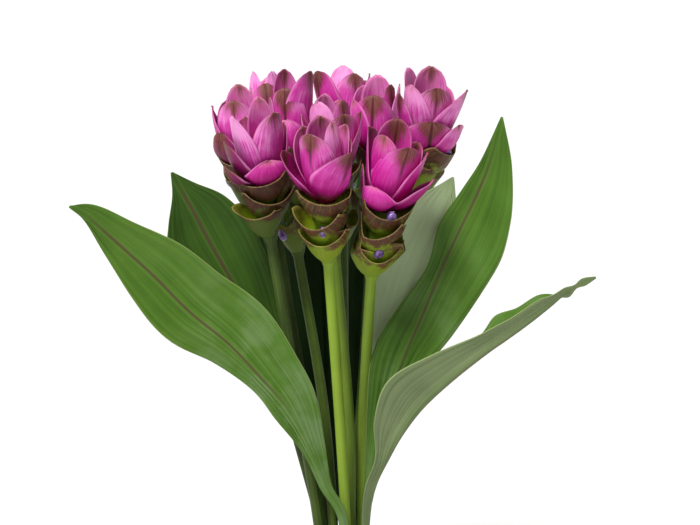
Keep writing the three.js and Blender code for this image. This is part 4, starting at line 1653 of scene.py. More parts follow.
@dataclass(frozen=True)
class FlowerStem(HeadPart):
    """A stem with its green pouch bracts.

    The swelling that carries them is in rows of height and radius, the lower ones above the stem's
    top and the upper ones from the green part's end. The pouches' sizes go from the lowest pouch's to
    the highest one's.
    """

    OUTLINE = Outline(widest=0.62, foot=0.55, loss=0.25)
    WEAVE = Weave(rows=20, columns=17)

    radius: float = 3.9
    sides: int = 20
    steps: int = 40
    ribs: int = 5
    rib_depth: float = 0.018
    end_share: float = 0.74
    collar: float = 16.0
    root: Span = (3, 6)
    belly: Span = (15, 20)
    low_reach: float = 0.85
    rim_reach: Span = (6, 3)
    rises: tuple[float, float, float, float] = (0, 4, 14, 22)
    half_width: Span = (27, 34)
    brown: Span = (0.15, 1.0)
    cup_seed_step: float = 0.53
    seed_step: float = 0.71
    core: tuple[Span, ...] = ((2, 5.5), (12, 7.5))
    core_top: tuple[Span, ...] = ((-6, 8.5), (0, 8))

    def share(self, cup: Cup) -> float:
        """Return how far up the green part a cup stands."""
        return min(max(cup.foot / (self.head.pouch - self.collar), 0), 1)

    def shell(self, cup: Cup) -> Shell:
        """Shape a cup: the higher ones are wider and steeper.

        Args:
            cup: The cup.

        Returns:
            Its shape.
        """
        share = self.share(cup)
        root = mix(*self.root, min(2 * share, 1))
        belly = mix(*self.belly, share) * cup.size
        return Shell(
            turn=cup.turn,
            reach=(root, belly * self.low_reach, belly, belly + mix(*self.rim_reach, share)),
            height=tuple(cup.foot + rise for rise in self.rises),
            half_width=mix(*self.half_width, share) * cup.size,
            outline=self.OUTLINE,
            inset=0.5,
            ripple=1.6,
            ripples=2.3,
            crease=0.3,
            dip=cup.dip,
            flare=cup.flare,
        )

    def build(self, crowd: Crowd, stem: Material, pouch: Material) -> Object:
        """Build the stem and its pouches.

        Args:
            crowd: The room that the heads leave each other.
            stem: The stem's material.
            pouch: The pouches' material.

        Returns:
            The piece.
        """
        draft = MeshDraft(f"Stem_{self.name}")
        self.add_stem(draft)
        for k, cup in enumerate(self.head.cups):
            brown = mix(*self.brown, self.share(cup))
            seed = self.seed(self.cup_seed_step, k)
            # The stem's value is partly painted light and shade on its pouches.
            values = {"brown": brown, "tone": self.head.stem_tone_and_painted_light, "seed": seed}
            self.add_shell(draft, self.shell(cup), crowd, self.WEAVE, values, finish=1)
        return draft.build([stem, pouch])

    def add_stem(self, draft: MeshDraft) -> None:
        """Add the bare stem and the swelling that carries the pouches.

        Args:
            draft: The piece that they belong to.
        """
        rows, near = self.head.stem_rows, 0.02
        share = np.linspace(0, self.end_share, self.steps + 1)
        ahead = unit(curve_at(rows, share + near) - curve_at(rows, share - near))
        swelling = [*self.core, *((self.head.pouch + rise, radius) for rise, radius in self.core_top)]
        heights, radii = np.array(swelling).T
        centres = np.vstack([curve_at(rows, share), self.head.at(heights)])
        ahead = np.vstack([ahead, np.tile(self.head.up, (len(heights), 1))])
        radius = np.concatenate([np.full(self.steps + 1, self.radius), radii])
        angle = ring_turns(self.sides)
        ribbed = radius[:, None] * (1 + self.rib_depth * np.cos(self.ribs * angle + ord(self.name)))[None]
        points, faces = tube(ring_points(centres, ahead, self.head.right, ribbed, self.sides))
        places = np.repeat(np.linspace(0, 1, len(centres)), self.sides)
        # The stem's value is partly painted light and shade on it.
        values = {
            "along": np.concatenate([places, [0, 1]]),
            "across": np.concatenate([np.tile(angle, len(centres)), [0, 0]]),
            "tone": self.head.stem_tone_and_painted_light,
            "seed": self.seed(self.seed_step),
        }
        draft.add(points, faces, values)


@dataclass(frozen=True)
class Leaf:
    """A leaf: a stalk that widens into a thin blade.

    Each spine row is x, y, z, left half width and right half width, from the soil to the tip, and
    facing is the way that the upper side looks. The fold, and the twist of the upper part, are in
    degrees, and the wave of the edges is in millimetres. The blade begins, and the stalk ends, where
    the half width is between two values.
    """

    TWIST_SPAN = (0.73, 0.86)
    BLADE_FROM = (5, 14)
    STALK_UP_TO = (4, 8)
    STALK_TOP = (0.2, 0.4)
    STALK_HALF = 0.5
    RIB_THINS = (0.3, 0.9)
    EDGE_SHARE = 0.1
    WAVE_LAG = 1.2
    PLEATS_ACROSS = 31.5
    PLEATS_ALONG = 12.6
    PLEAT_SWELL = 1.6
    CROWDING = 0.9
    SEED_STEP = 0.41

    name: str
    spine: tuple[tuple[float, float, float, float, float], ...]
    facing: Place
    fold: float
    wave: float
    waves: float
    # Partly painted light and shade: leaves deep in the bunch are painted dark, and the back right leaf's
    # under side is painted pale.
    tone: float = 0.0
    pleats: float = 0.35
    twist: float = 0.0
    rows: int = 92
    columns: int = 41
    rib_half_thickness: float = 3.0
    blade_half_thickness: float = 0.4
    edge_half_thickness: float = 0.2
    rib_half_width: float = 6.0

    def build(self, leaf: Material) -> Object:
        """Build the leaf.

        Args:
            leaf: The leaves' material.

        Returns:
            The piece.
        """
        t = np.linspace(0, 1, self.rows)
        u = crowded_ends(self.columns, self.CROWDING)
        rows = curve_at(self.spine, t)
        half_width = np.where(u[None] < 0, rows[:, 3:4], rows[:, 4:5])
        grid = self.surface(t, u, rows, u[None] * half_width)
        points, faces = sheet(grid, self.half(t, u, rows, u[None] * half_width))
        values = {
            "wide": np.tile(half_width.ravel(), 2),
            "tone": self.tone,
            "seed": self.SEED_STEP * len(self.name) + self.fold,
        }
        draft = MeshDraft(self.name.title())
        draft.add(points, faces, sheet_values(t, u, Side.HIDDEN) | values)
        return draft.build([leaf])

    def surface(self, t: Array, u: Array, rows: Array, reach: Array) -> Array:
        """Lay the blade's middle surface along the spine.

        Args:
            t: Places along the leaf.
            u: Places across it.
            rows: The spine's rows at the places along it.
            reach: How far each point is from the spine, to the left and right.

        Returns:
            Points as rows, columns and coordinates.
        """
        near = 0.01
        ahead = unit(curve_at(self.spine, t + near)[:, :3] - curve_at(self.spine, t - near)[:, :3])
        side = unit(np.cross(ahead, np.asarray(self.facing)))
        turned = (radians(self.twist) * smoothstep(t, *self.TWIST_SPAN))[:, None]
        side = side * np.cos(turned) + np.cross(ahead, side) * np.sin(turned)
        normal = np.cross(side, ahead)
        blade = smoothstep(rows[:, 3:].mean(1), *self.BLADE_FROM)[:, None]
        fold = radians(self.fold) * blade
        phase = tau * self.waves * t[:, None] + np.where(u < 0, self.WAVE_LAG, 0)[None]
        lift = self.wave * blade * u[None] ** 2 * np.sin(phase) + self.pleat(t, u, blade)
        across = side[:, None] * (reach * np.cos(fold))[..., None]
        upward = normal[:, None] * (np.abs(reach) * np.sin(fold) + lift)[..., None]
        return rows[:, None, :3] + across + upward

    def pleat(self, t: Array, u: Array, blade: Array) -> Array:
        """Find the height of the soft pleats that follow the veins.

        Args:
            t: Places along the leaf.
            u: Places across it.
            blade: How much of a blade, and not a stalk, there is at each place along it.

        Returns:
            The height, as rows and columns.
        """
        off_rib = np.abs(u)[None]
        envelope = blade * off_rib * (1 - off_rib**4) * self.PLEAT_SWELL
        return self.pleats * envelope * np.sin(self.PLEATS_ACROSS * off_rib - self.PLEATS_ALONG * t[:, None])

    def half(self, t: Array, u: Array, rows: Array, reach: Array) -> Array:
        """Find half the leaf's thickness: round at its stalk, thick at its rib and thin at its edges.

        Args:
            t: Places along the leaf.
            u: Places across it.
            rows: The spine's rows at the places along it.
            reach: How far each point is from the spine, to the left and right.

        Returns:
            Half the thickness, as rows and columns.
        """
        thinned = smoothstep(t, *self.RIB_THINS)[:, None]
        rib = mix(self.rib_half_thickness, self.blade_half_thickness, thinned)
        half = mix(rib, self.blade_half_thickness, np.minimum(np.abs(reach) / self.rib_half_width, 1))
        off_edge = np.minimum((1 - np.abs(u)) / self.EDGE_SHARE, 1)[None]
        half = np.minimum(half, mix(self.edge_half_thickness, half, off_edge))
        stalk = 1 - smoothstep(rows[:, 3:].mean(1), *self.STALK_UP_TO)
        stalk = (stalk * smoothstep(1 - t, *self.STALK_TOP))[:, None]
        stalk_half = self.rib_half_thickness * np.sqrt(np.maximum(1 - u[None] ** 2, 0.02))
        return mix(half, np.minimum(stalk_half, np.maximum(half, self.STALK_HALF)), stalk)


@dataclass(frozen=True)
class Floret:
    """A small lobed flower that leans out of a pouch."""

    name: str
    head: Head
    turn: float
    height: float
    reach: float
    radius: float = 3.4
    half_length: float = 4.6
    lobes: int = 3
    lobe_depth: float = 0.2
    pinch_depth: float = 0.16
    pinch_width: float = 0.35
    lean: float = 35.0
    rings: int = 22
    sides: int = 30

    def build(self, floret: Material) -> Object:
        """Build the floret.

        Args:
            floret: The florets' material.

        Returns:
            The piece.
        """
        out = self.head.outward(self.turn)
        axis = self.head.up * cos(radians(self.lean)) + out * sin(radians(self.lean))
        centre = self.head.at(self.height, self.reach, self.turn)
        share = np.sin(np.linspace(-pi / 2, pi / 2, self.rings))
        round_off = np.maximum(np.sqrt(1 - share**2), 0.03)
        angle = ring_turns(self.sides)
        lobed = 1 + self.lobe_depth * np.cos(self.lobes * angle)
        between = np.exp(-((np.cos(self.lobes / 2 * angle) / self.pinch_width) ** 2))
        pinched = 1 - self.pinch_depth * smoothstep(share, 0.0, 0.5)[:, None] * between[None]
        radii = self.radius * round_off[:, None] * lobed[None] * pinched
        centres = centre + np.outer(share * self.half_length, axis)
        rings = ring_points(centres, axis, self.head.right, radii, self.sides)
        along = np.concatenate([np.repeat((share + 1) / 2, self.sides), [0, 1]])
        draft = MeshDraft(self.name.title())
        draft.add(*tube(rings), {"along": along})
        return draft.build([floret])


# The pot


@dataclass(frozen=True)
class Pot:
    """A plain tapered clay pot with a thick rim and drain holes.

    The rounded corners are in points: how far in from the corner's radius, and how far up or down
    from its level. The middle is closed by rings of two radii. The ends say how far each straight
    stretch stays from the corners below and above it.
    """

    OUTSIDE_RINGS = 14
    OUTSIDE_ENDS = (2.5, 0.8)
    BAND_RINGS = 6
    BAND_ENDS = (2.4, 3.4)
    BAND_STEP = 0.6
    BAND_INSET = 0.1
    INSIDE_RINGS = 12
    INSIDE_ENDS = (2.0, 2.5)
    FLOOR_CORNER = 1.5
    FOOT_CORNER = ((2.5, 0.0), (0.7, 0.5))
    BAND_CORNER = ((1.4, 0.3), (0.4, 1.2))
    OUTER_LIP = ((0.4, 1.7), (1.3, 0.5), (2.5, 0.0))
    INNER_LIP = ((0.9, 0.15), (0.1, 1.0))
    MIDDLE = (0.01, 20.0)

    height: float = 120.0
    rim_radius: float = 69.0
    rim_depth: float = 22.0
    rim_step: float = 3.5
    rim_bulge: float = 0.25
    foot_radius: float = 46.0
    wall: float = 5.0
    floor: float = 7.0
    drain_radius: float = 5.0
    drain_ring: float = 27.0
    drains: int = 3
    drain_sides: int = 32
    sides: int = 120

    def inner(self, z: float) -> float:
        """Return the inside radius at a height."""
        return mix(self.foot_radius, self.rim_radius, z / self.height) - self.wall

    def outer(self, z: float) -> float:
        """Return the outside radius at a height under the rim."""
        return mix(self.foot_radius, self.rim_radius - self.rim_step, z / (self.height - self.rim_depth))

    @staticmethod
    def levels(low: float, high: float, ends: Span, count: int) -> Array:
        """Return the heights of a straight stretch's rings, from above low to below high."""
        return np.linspace(low + ends[0], high - ends[1], count)

    def profile(self) -> list[Span]:
        """Draw the section, from the middle of the underside, up the outside and down the inside.

        Returns:
            The radius and height of each of its points.
        """
        lip, rim, top = self.height - self.rim_depth, self.rim_radius, self.height
        outside = [(r, 0.0) for r in self.MIDDLE]
        outside += [(self.foot_radius - inward, up) for inward, up in self.FOOT_CORNER]
        outside += [(self.outer(z), z) for z in self.levels(0, lip, self.OUTSIDE_ENDS, self.OUTSIDE_RINGS)]
        band = [(self.outer(lip) + self.BAND_STEP, lip)]
        band += [(rim - inward, lip + up) for inward, up in self.BAND_CORNER]
        bulges = self.rim_bulge * np.sin(np.linspace(0, pi, self.BAND_RINGS)) - self.BAND_INSET
        levels = self.levels(lip, top, self.BAND_ENDS, self.BAND_RINGS)
        band += [(rim + bulge, z) for bulge, z in zip(bulges, levels, strict=True)]
        edge = [(rim - inward, top - down) for inward, down in self.OUTER_LIP]
        edge += [(rim - self.wall + outward, top - down) for outward, down in self.INNER_LIP]
        levels = self.levels(self.floor, top, self.INSIDE_ENDS, self.INSIDE_RINGS)
        inside = [(self.inner(z), z) for z in levels[::-1]]
        inside += [(self.inner(self.floor) - self.FLOOR_CORNER, self.floor)]
        inside += [(r, self.floor) for r in self.MIDDLE[::-1]]
        return outside + band + edge + inside

    def build(self, clay: Material) -> Object:
        """Turn the pot on its axis and drill its drain holes.

        Args:
            clay: The pot's material.

        Returns:
            The piece.
        """
        radii, heights = np.array(self.profile()).T
        draft = MeshDraft("Clay_pot")
        draft.add(*tube(ring_points(np.outer(heights, UP), UP, RIGHT, radii, self.sides)), {})
        pot = draft.build([clay])
        drills = MeshDraft("Drills")
        drill_ends = np.outer([-2.0, self.floor + 2.0], UP)
        drill_radii = np.full(2, self.drain_radius)
        for k in range(self.drains):
            angle = tau * (k + 0.5) / self.drains
            middle = np.array([self.drain_ring * cos(angle), self.drain_ring * sin(angle), 0])
            drill = ring_points(middle + drill_ends, UP, RIGHT, drill_radii, self.drain_sides)
            drills.add(*tube(drill), {})
        cut_by(pot, drills.build([clay]))
        return pot


@dataclass(frozen=True)
class Soil:
    """The potting mix: a mounded, crumbly top in the pot."""

    pot: Pot
    top: float = 106.0
    mound: float = 3.0
    flat: float = 0.5
    gap: float = 0.6
    bottom: float = 7.3
    shoulder: float = 3.0
    bumps: int = 14
    bump_height: float = 0.28
    bump_pace: float = 0.9
    shore_calm: float = 0.6
    rings: int = 40
    sides: int = 96
    crumbs: int = 900
    crumb_field: Span = (0, 0.9)
    crumb_radius: Span = (0.6, 2.0)
    crumb_squash: Span = (0.7, 1.0)
    crumb_dents: Span = (0.75, 1.2)
    crumb_lift: float = 0.25
    seed: int = 5

    def surface(self, share: float | Array) -> float | Array:
        """Return the soil's height at a share of its radius."""
        return mix(self.top, self.top - self.mound, smoothstep(share, self.flat, 1.0))

    def build(self, soil: Material) -> Object:
        """Build the soil's body and the crumbs on its top.

        Args:
            soil: The soil's material.

        Returns:
            The piece.
        """
        rng = np.random.default_rng(self.seed)
        shore_z = self.top - self.mound
        shore = self.pot.inner(shore_z) - self.gap
        shares = np.linspace(1, 0.02, self.rings)
        angle = ring_turns(self.sides)
        x, y = (np.outer(shares * shore, turn) for turn in (np.cos(angle), np.sin(angle)))
        slowest, fastest = (-self.bump_pace, -self.bump_pace, 0), (self.bump_pace, self.bump_pace, tau)
        waves = rng.uniform(slowest, fastest, (self.bumps, 3))
        heights = (np.sin(x * pace_x + y * pace_y + phase) for pace_x, pace_y, phase in waves)
        bumps = sum(self.bump_height * height for height in heights)
        z = self.surface(shares)[:, None] + bumps * (1 - self.shore_calm * shares[:, None] ** 6)
        levels = np.outer([self.bottom, shore_z - self.shoulder], UP)
        wall_radii = np.array([self.pot.inner(self.bottom) - self.gap, shore])
        wall = ring_points(levels, UP, RIGHT, wall_radii, self.sides)
        draft = MeshDraft("Potting_soil")
        draft.add(*tube(np.concatenate([wall, np.stack([x, y, z], -1)])), {"tone": 0.0})
        self.add_crumbs(draft, rng, shore)
        return draft.build([soil])

    def add_crumbs(self, draft: MeshDraft, rng: np.random.Generator, shore: float) -> None:
        """Scatter small uneven lumps on the soil, up to near its shore.

        Args:
            draft: The piece that they belong to.
            rng: The source of chance.
            shore: The radius at which the soil meets the pot.
        """
        ball = bmesh.new()
        bmesh.ops.create_icosphere(ball, subdivisions=1, radius=1.0)
        corners = np.array([vertex.co for vertex in ball.verts])
        faces = [[vertex.index for vertex in face.verts] for face in ball.faces]
        ball.free()
        for _ in range(self.crumbs):
            share = np.sqrt(rng.uniform(*self.crumb_field))
            angle = rng.uniform(0, tau)
            size = rng.uniform(*self.crumb_radius) * rng.uniform(*self.crumb_squash, 3)
            lump = corners * size * rng.uniform(*self.crumb_dents, (len(corners), 1))
            height = self.surface(share) + self.crumb_lift * size[2]
            middle = np.array([share * shore * cos(angle), share * shore * sin(angle), height])
            draft.add(lump + middle, faces, {"tone": float(rng.uniform(-1, 1))})


# The plan itself: heads, leaves and florets

# The values at the end of each head are partly painted light and shade: stems and pouches deep in the bunch
# are painted darker, and M's bracts and pouches lighter.
HEADS = {
    "A": Head(
        base=(-8, -50, 377), crown=(-12, -66, 482), coma=60, soil=(5, -13), bend=(0, -30, 250),
        cups=(
            Cup(95, 3, 0.95, 3), Cup(-12, 0, 1), Cup(-28, 13, 1, 6), Cup(150, 18), Cup(4, 31, 1, 4, 3.5),
        ),
        bracts=(
            Bract(-88, 32, 40, 14, 1.1, -0.85), Bract(30, 27, 42, 22, 0.95, 0.0, 9),
            Bract(125, 20, 53, 17, 0.4, 0.3), Bract(-135, 22, 52, 16, 0.4),
            Bract(85, 30, 46, 16, 0.8, -0.3), Bract(-34, 15, 54, 20, 0.85, 0.15),
            Bract(-170, 9, 61, 16, 0.45, 0.3), Bract(55, 8, 60, 12, 0.35, 0.6),
        ),
        tone=-0.1, stem_tone_and_painted_light=0.8,
    ),
    "B": Head(
        base=(23, -44, 365), crown=(41, -62, 483), coma=69, soil=(17, 0), bend=(17, -5, 235),
        cups=(
            Cup(-85, 0, 1, 3), Cup(2, 1, 1, 9), Cup(90, 5, 1), Cup(-20, 18, 1.1, 7, 4), Cup(180, 22, 1),
            Cup(8, 34, 1, 7),
        ),
        bracts=(
            Bract(72, 33, 31, 17, 0.25, -0.6), Bract(-28, 20, 22, 19, 0.15, -0.5),
            Bract(-95, 24, 30, 15, 0.3, -0.4), Bract(17, 16, 53, 22, 0.85, -0.2, 6),
            Bract(125, 22, 50, 16, 0.6, -0.4), Bract(-120, 21, 57, 17, 0.6, -0.2),
            Bract(78, 25, 49, 16, 0.4, -0.3), Bract(-38, 12, 58, 17, 0.4, -0.5),
            Bract(172, 10, 66, 19, 1.0, 0.1),
        ),
        tone=-0.45, stem_tone_and_painted_light=0.6,
    ),
    "C": Head(
        base=(-51, -22, 387), crown=(-60, -34, 487), coma=60, soil=(-15, -14), bend=(-31, -19, 260),
        cups=(Cup(-30, 3, 1.05, 3, 4), Cup(20, 14, 1, 4), Cup(160, 12), Cup(-10, 28, 1, 3)),
        bracts=(
            Bract(20, 19, 25, 19, 0.3, -0.95), Bract(-65, 28, 21, 15, 1.6, -1.6),
            Bract(-72, 26, 39, 18, 1.2, -1.3), Bract(110, 20, 46, 14, 0.4), Bract(-150, 20, 50, 15, 0.3),
            Bract(48, 17, 58, 19, 0.55, 0.35), Bract(-56, 20, 58, 15, 0.05, 1.0),
            Bract(165, 8, 66, 12, 0.3, 0.3),
        ),
        stem_tone_and_painted_light=-0.75,
    ),
    "D": Head(
        base=(-32, 14, 370), crown=(-38, 34, 502), coma=65, soil=(-5, -5), bend=(-13, 4, 255),
        cups=(Cup(-40, 0), Cup(100, 10), Cup(-120, 22), Cup(20, 36), Cup(-60, 52)),
        bracts=(
            Bract(-10, 22, 32, 16, 0.2), Bract(100, 23, 50, 15, 0.4), Bract(-90, 20, 50, 15, 0.4),
            Bract(165, 20, 56, 16, 0.3), Bract(-15, 15, 56, 18, 1.1, 0.1),
            Bract(66, 17, 68, 21, 0.6, 0.1), Bract(-150, 8, 71, 14, 0.55, 0.1),
        ),
        stem_tone_and_painted_light=-0.5,
    ),
    "E": Head(
        base=(-68, 16, 402), crown=(-77, 24, 494), coma=60, soil=(-14, 4), bend=(-41, 9, 260),
        cups=(Cup(75, 0, 0.6), Cup(-60, 5, 0.62), Cup(-150, 10, 0.6), Cup(-20, 17, 0.75)),
        bracts=(
            Bract(-50, 20, 29, 15, 1.6, -1.4), Bract(-92, 20, 49, 13, 0.35, -0.5),
            Bract(60, 18, 45, 13, 0.8, -0.2), Bract(150, 20, 50, 15, 0.3),
            Bract(-10, 17, 52, 18, 0.7, 0.2), Bract(-145, 16, 52, 14, 0.3),
            Bract(100, 11, 60, 12, 0.2, 0.3), Bract(170, 5, 63, 15, 0.4, 0.4),
        ),
        stem_tone_and_painted_light=-0.7,
    ),
    "F": Head(
        base=(-50, 50, 385), crown=(-60, 84, 500), coma=60, soil=(-8, 13), bend=(-27, 28, 250),
        cups=(Cup(160, 4), Cup(-75, 22), Cup(20, 42)),
        bracts=(
            Bract(180, 22, 46, 16, 0.4), Bract(-115, 21, 48, 15, 0.3), Bract(115, 20, 50, 15, 0.4),
            Bract(5, 15, 48, 14, 1.1, -0.3), Bract(-60, 9, 60, 13, 0.1, 0.6),
            Bract(60, 8, 59, 14, 0.05, 0.5), Bract(165, 10, 57, 14, 0.2, 0.2),
        ),
        stem_tone_and_painted_light=-0.8,
    ),
    "I": Head(
        base=(2, 46, 386), crown=(4, 76, 504), coma=62, soil=(3, 16), bend=(3, 28, 250),
        cups=(Cup(120, 4), Cup(-150, 22), Cup(15, 42)),
        bracts=(
            Bract(175, 22, 48, 16, 0.4), Bract(-70, 27, 57, 21, 0.95, -0.6, 4),
            Bract(92, 19, 58, 13, 0.6, -0.1), Bract(-135, 20, 52, 15, 0.3), Bract(130, 19, 54, 14, 0.4),
            Bract(30, 15, 56, 18, 0.75, 0.2), Bract(-20, 6, 63, 16, 0.15, 0.6),
        ),
        stem_tone_and_painted_light=-0.8,
    ),
    "J": Head(
        base=(-4, -8, 376), crown=(-6, -14, 493), coma=60, soil=(8, -5), bend=(7, -8, 245),
        cups=(Cup(60, 2), Cup(-100, 21), Cup(30, 41)),
        bracts=(
            Bract(-95, 22, 46, 14, 0.3), Bract(95, 22, 48, 15, 0.7, -0.3),
            Bract(32, 17, 49, 18, 0.7, 0.1), Bract(-35, 15, 58, 15, 0.15, 0.8),
            Bract(160, 18, 54, 14, 0.3), Bract(45, 11, 58, 13, 0.8, -0.2),
            Bract(-150, 11, 60, 13, 0.2, 0.4),
        ),
        stem_tone_and_painted_light=0.15,
    ),
    "K": Head(
        base=(24, 14, 387), crown=(28, 26, 502), coma=60, soil=(9, 9), bend=(16, 11, 250),
        cups=(Cup(-120, 2), Cup(130, 21), Cup(0, 40)),
        bracts=(
            Bract(150, 20, 48, 14, 0.3), Bract(-72, 18, 43, 18, 0.3, -0.4),
            Bract(-10, 16, 47, 19, 1.15, 0.1), Bract(90, 17, 56, 13, 0.2, 0.6),
            Bract(-150, 18, 54, 14, 0.2, 0.3), Bract(60, 11, 55, 13, 1.0, -0.6),
            Bract(175, 5, 62, 15, 0.15, 0.4),
        ),
        stem_tone_and_painted_light=-0.6,
    ),
    "M": Head(
        base=(58.5, 0, 413.5), crown=(68, -10, 512.5), coma=67, soil=(16, 20), bend=(36, 18, 260),
        cups=(Cup(100, 0, 0.6), Cup(-40, 3, 0.6), Cup(10, 9, 0.7), Cup(70, 19, 1, 3, 4)),
        bracts=(
            Bract(5, 24, 33, 21, 1.3, -0.7), Bract(60, 26, 30, 15, 0.4, -0.3),
            Bract(-72, 24, 48, 14, 1.0, -0.8), Bract(150, 21, 52, 15, 0.3),
            Bract(76, 27, 55, 22, 0.6, 0.0), Bract(-50, 19, 56, 16, 0.2, 0.3),
            Bract(14, 15, 56, 20, 0.8, 0.2), Bract(-120, 20, 64, 13, 0.1, 0.5),
            Bract(-175, 8, 67, 18, 0.45, 0.4),
        ),
        tone=0.45, stem_tone_and_painted_light=0.5,
    ),
}

# A leaf's painted light and shade runs from -1, for the dark leaves deep in the bunch, to 1, for the back
# right leaf's pale under side.
LEAVES = (
    Leaf(
        "leaf_front_left",
        spine=(
            (4, -24, 91, 3.4, 3.4), (3, -27, 168, 3.6, 3.6), (-11, -29, 200, 4.5, 5),
            (-23, -32, 230, 6, 13), (-39, -35, 262, 12, 24), (-57, -37, 285, 11, 31),
            (-82, -39, 313, 18, 38), (-110, -42, 338, 26, 36), (-135, -44, 365, 23, 31),
            (-160, -48, 390, 13, 20), (-180, -53, 410, 4, 11), (-193, -57, 419, 0.8, 0.8),
        ),
        facing=(0.15, -1, 0.25), fold=8, wave=1.6, waves=3, tone=0.15, pleats=0.55,
    ),
    Leaf(
        "leaf_back_left",
        spine=(
            (-14, -6, 91, 3.4, 3.4), (-15, -7, 165, 3.4, 3.4), (-28, -7, 238, 6, 6),
            (-42, -7, 277, 16, 11), (-59, -6, 311, 28, 20), (-79, -6, 350, 35, 31),
            (-97, -6, 383, 34, 34), (-108, -7, 405, 22, 27), (-117, -8, 422, 8, 12),
            (-124, -10, 436, 0.8, 0.8),
        ),
        facing=(0, -1, 0.1), fold=5, wave=1.2, waves=2, tone=-0.5,
    ),
    Leaf(
        "leaf_right",
        spine=(
            (20, -9, 91, 3.4, 3.4), (19, -10, 160, 3.4, 3.4), (24, -15, 208, 5, 5), (33, -21, 252, 13, 9),
            (46, -25, 294, 23, 17), (60, -26, 328, 20, 27), (74, -27, 364, 11, 35),
            (87, -27, 394, 15.5, 38), (99, -28, 420, 12, 31), (109, -29, 446, 7, 18),
            (117, -32, 480, 0.8, 0.8),
        ),
        facing=(-0.25, -1, 0.1), fold=10, wave=1.8, waves=3, tone=-0.1,
    ),
    Leaf(
        "leaf_right_front",
        spine=(
            (20, -17, 91, 3.4, 3.4), (18.5, -18, 160, 3.4, 3.6), (24, -29, 198, 7, 8),
            (34.5, -39, 226, 12, 10), (46, -48, 250, 22, 25), (61, -52, 271, 21, 35),
            (82, -55, 292, 21, 26), (106, -57, 312, 17, 17), (121, -57.5, 322.5, 24, 16),
            (136, -58, 333.5, 16, 13), (151, -58.5, 345.5, 14, 10), (161, -59.5, 354.5, 7, 7),
            (169, -60, 360.5, 1.8, 1.8), (175.5, -60.5, 364.5, 3, 3), (184, -61, 368, 0.8, 0.8),
        ),
        facing=(-0.5, 0.25, 0.8), fold=52, wave=1.5, waves=3, tone=0.1, twist=-70,
    ),
    Leaf(
        "leaf_back_right",
        spine=(
            (18, 9, 91, 3.4, 3.4), (20, 7, 165, 3.6, 3.6), (28, 3, 236, 8, 8), (37, -7, 296, 20, 22),
            (51, -14, 345, 26, 30), (67, -19, 387, 22, 27), (78, -20, 414, 8, 20),
            (83, -19, 434, 0.8, 0.8),
        ),
        facing=(0.2, 1, 0.1), fold=8, wave=1.5, waves=2, tone=1.0,
    ),
    Leaf(
        "leaf_back_outer",
        spine=(
            (-13, 22, 91, 3.4, 3.4), (-15, 29, 165, 3.6, 3.6), (-25, 44, 230, 15, 15),
            (-40, 66, 298, 27, 27), (-50, 95, 350, 30, 31), (-60, 122, 380, 20, 20),
            (-66, 140, 394, 9, 9), (-70, 156, 402, 0.8, 0.8),
        ),
        facing=(0.35, -0.8, 0.5), fold=14, wave=1.8, waves=2, tone=-1.0,
    ),
    Leaf(
        "leaf_back",
        spine=(
            (2, 26, 91, 3.4, 3.4), (2, 35, 160, 4, 4), (2, 49, 220, 16, 16), (3, 72, 285, 29, 27),
            (5, 104, 345, 34, 31), (9, 138, 386, 25, 25), (12, 162, 406, 13, 13),
            (14, 182, 418, 0.8, 0.8),
        ),
        facing=(-0.2, -0.8, 0.6), fold=14, wave=1.8, waves=2, tone=-1.0,
    ),
)

FLORETS = (
    Floret("floret_a", HEADS["A"], turn=-6, height=29, reach=17),
    Floret("floret_b_upper", HEADS["B"], turn=16, height=54, reach=20),
    Floret("floret_b_lower", HEADS["B"], turn=4, height=24, reach=15.5),
    Floret("floret_d", HEADS["D"], turn=-42, height=15, reach=15),
    Floret("floret_e", HEADS["E"], turn=-120, height=23, reach=15),
    Floret("floret_f", HEADS["F"], turn=-165, height=30, reach=13.5),
    Floret("floret_i", HEADS["I"], turn=160, height=32, reach=16),
    Floret("floret_k", HEADS["K"], turn=120, height=30, reach=15),
    Floret("floret_m", HEADS["M"], turn=62, height=40, reach=17.5),
)


# The studio


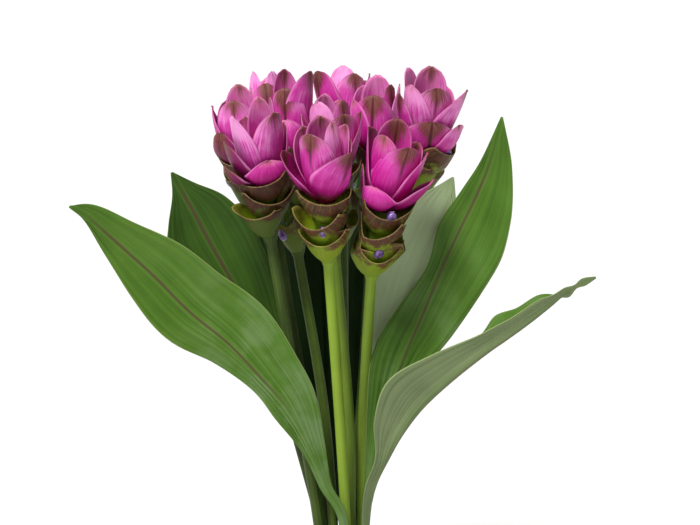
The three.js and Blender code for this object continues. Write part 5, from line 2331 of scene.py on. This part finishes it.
@dataclass(frozen=True)
class Studio:
    """The pale floor, the soft light and the camera. Angles are in degrees."""

    target: Place = (7.5, 0, 366)
    distance: float = 1400.0
    elevation: float = 12.0
    lens: float = 96.0
    sensor: float = 36.0
    far_metres: float = 100.0
    floor_half: float = 30000.0
    sky_colour: Colour = (0.985, 0.99, 1.0)
    sky: float = 0.32
    sun: float = 4.3
    sun_soft: float = 20.0
    sun_turn: float = -34.0
    sun_elevation: float = 57.0

    def camera(self) -> None:
        """Set the camera where the photograph was taken from."""
        data = bpy.data.cameras.new("camera")
        data.lens = self.lens
        data.sensor_width = self.sensor
        data.clip_end = self.far_metres
        camera = bpy.data.objects.new("camera", data)
        bpy.context.scene.collection.objects.link(camera)
        angle = radians(self.elevation)
        offset = Vector((0, -cos(angle), sin(angle))) * self.distance
        camera.location = (Vector(self.target) + offset) * MM
        camera.rotation_euler = (-offset).to_track_quat("-Z", "Y").to_euler()
        bpy.context.scene.camera = camera

    def light(self) -> None:
        """Light the plant from the upper front left, under a soft pale sky."""
        sky = bpy.data.worlds.new("sky")
        sky.use_nodes = True
        background = sky.node_tree.nodes["Background"]
        background.inputs["Color"].default_value = (*self.sky_colour, 1)
        background.inputs["Strength"].default_value = self.sky
        bpy.context.scene.world = sky
        data = bpy.data.lights.new("key", "SUN")
        data.energy = self.sun
        data.angle = radians(self.sun_soft)
        key = bpy.data.objects.new("key", data)
        bpy.context.scene.collection.objects.link(key)
        turn, rise = radians(self.sun_turn), radians(self.sun_elevation)
        ahead = Vector((-sin(turn) * cos(rise), cos(turn) * cos(rise), -sin(rise)))
        key.rotation_euler = ahead.to_track_quat("-Z", "Y").to_euler()
        bpy.context.scene.view_settings.view_transform = "Standard"

    def floor(self) -> None:
        """Lay the floor."""
        half = self.floor_half
        corners = np.array([(-half, -half, 0), (half, -half, 0), (half, half, 0), (-half, half, 0)], float)
        draft = MeshDraft("Floor")
        draft.add(corners, [(0, 1, 2, 3)], {})
        draft.build([FloorFinish().material()])


def place(piece: Object, node: str, slot: Slot) -> None:
    """Let a piece stand for a node of the frame, and report it.

    Args:
        piece: The piece.
        node: The node's name.
        slot: The node's material slot; it is not used.
    """
    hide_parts(node)
    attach(piece, ROOT)
    LOG.info("%s stands for %s with %d faces", piece.name, node, len(piece.data.polygons))


def main() -> None:
    """Build the plant, its pot and the studio."""
    logging.basicConfig(level=logging.INFO, format="%(message)s")
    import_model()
    studio = Studio()
    studio.camera()
    studio.light()
    studio.floor()

    pot = Pot()
    place(pot.build(ClayFinish().material()), "pot", Slot.CLAY)
    place(Soil(pot).build(SoilFinish().material()), "soil", Slot.SOIL)

    crowd = Crowd(HEADS)
    petal, pouch, stem = PetalFinish().material(), PouchFinish().material(), StemFinish().material()
    for name, head in HEADS.items():
        place(FlowerStem(name, head).build(crowd, stem, pouch), f"stem_{name.lower()}", Slot.STEM)
        place(Bloom(name, head).build(crowd, petal), f"bloom_{name.lower()}", Slot.PETAL)
    green = LeafFinish().material()
    for leaf in LEAVES:
        place(leaf.build(green), leaf.name, Slot.LEAF)
    violet = FloretFinish().material()
    for floret in FLORETS:
        place(floret.build(violet), floret.name, Slot.FLORET)


if __name__ == "__main__":
    main()
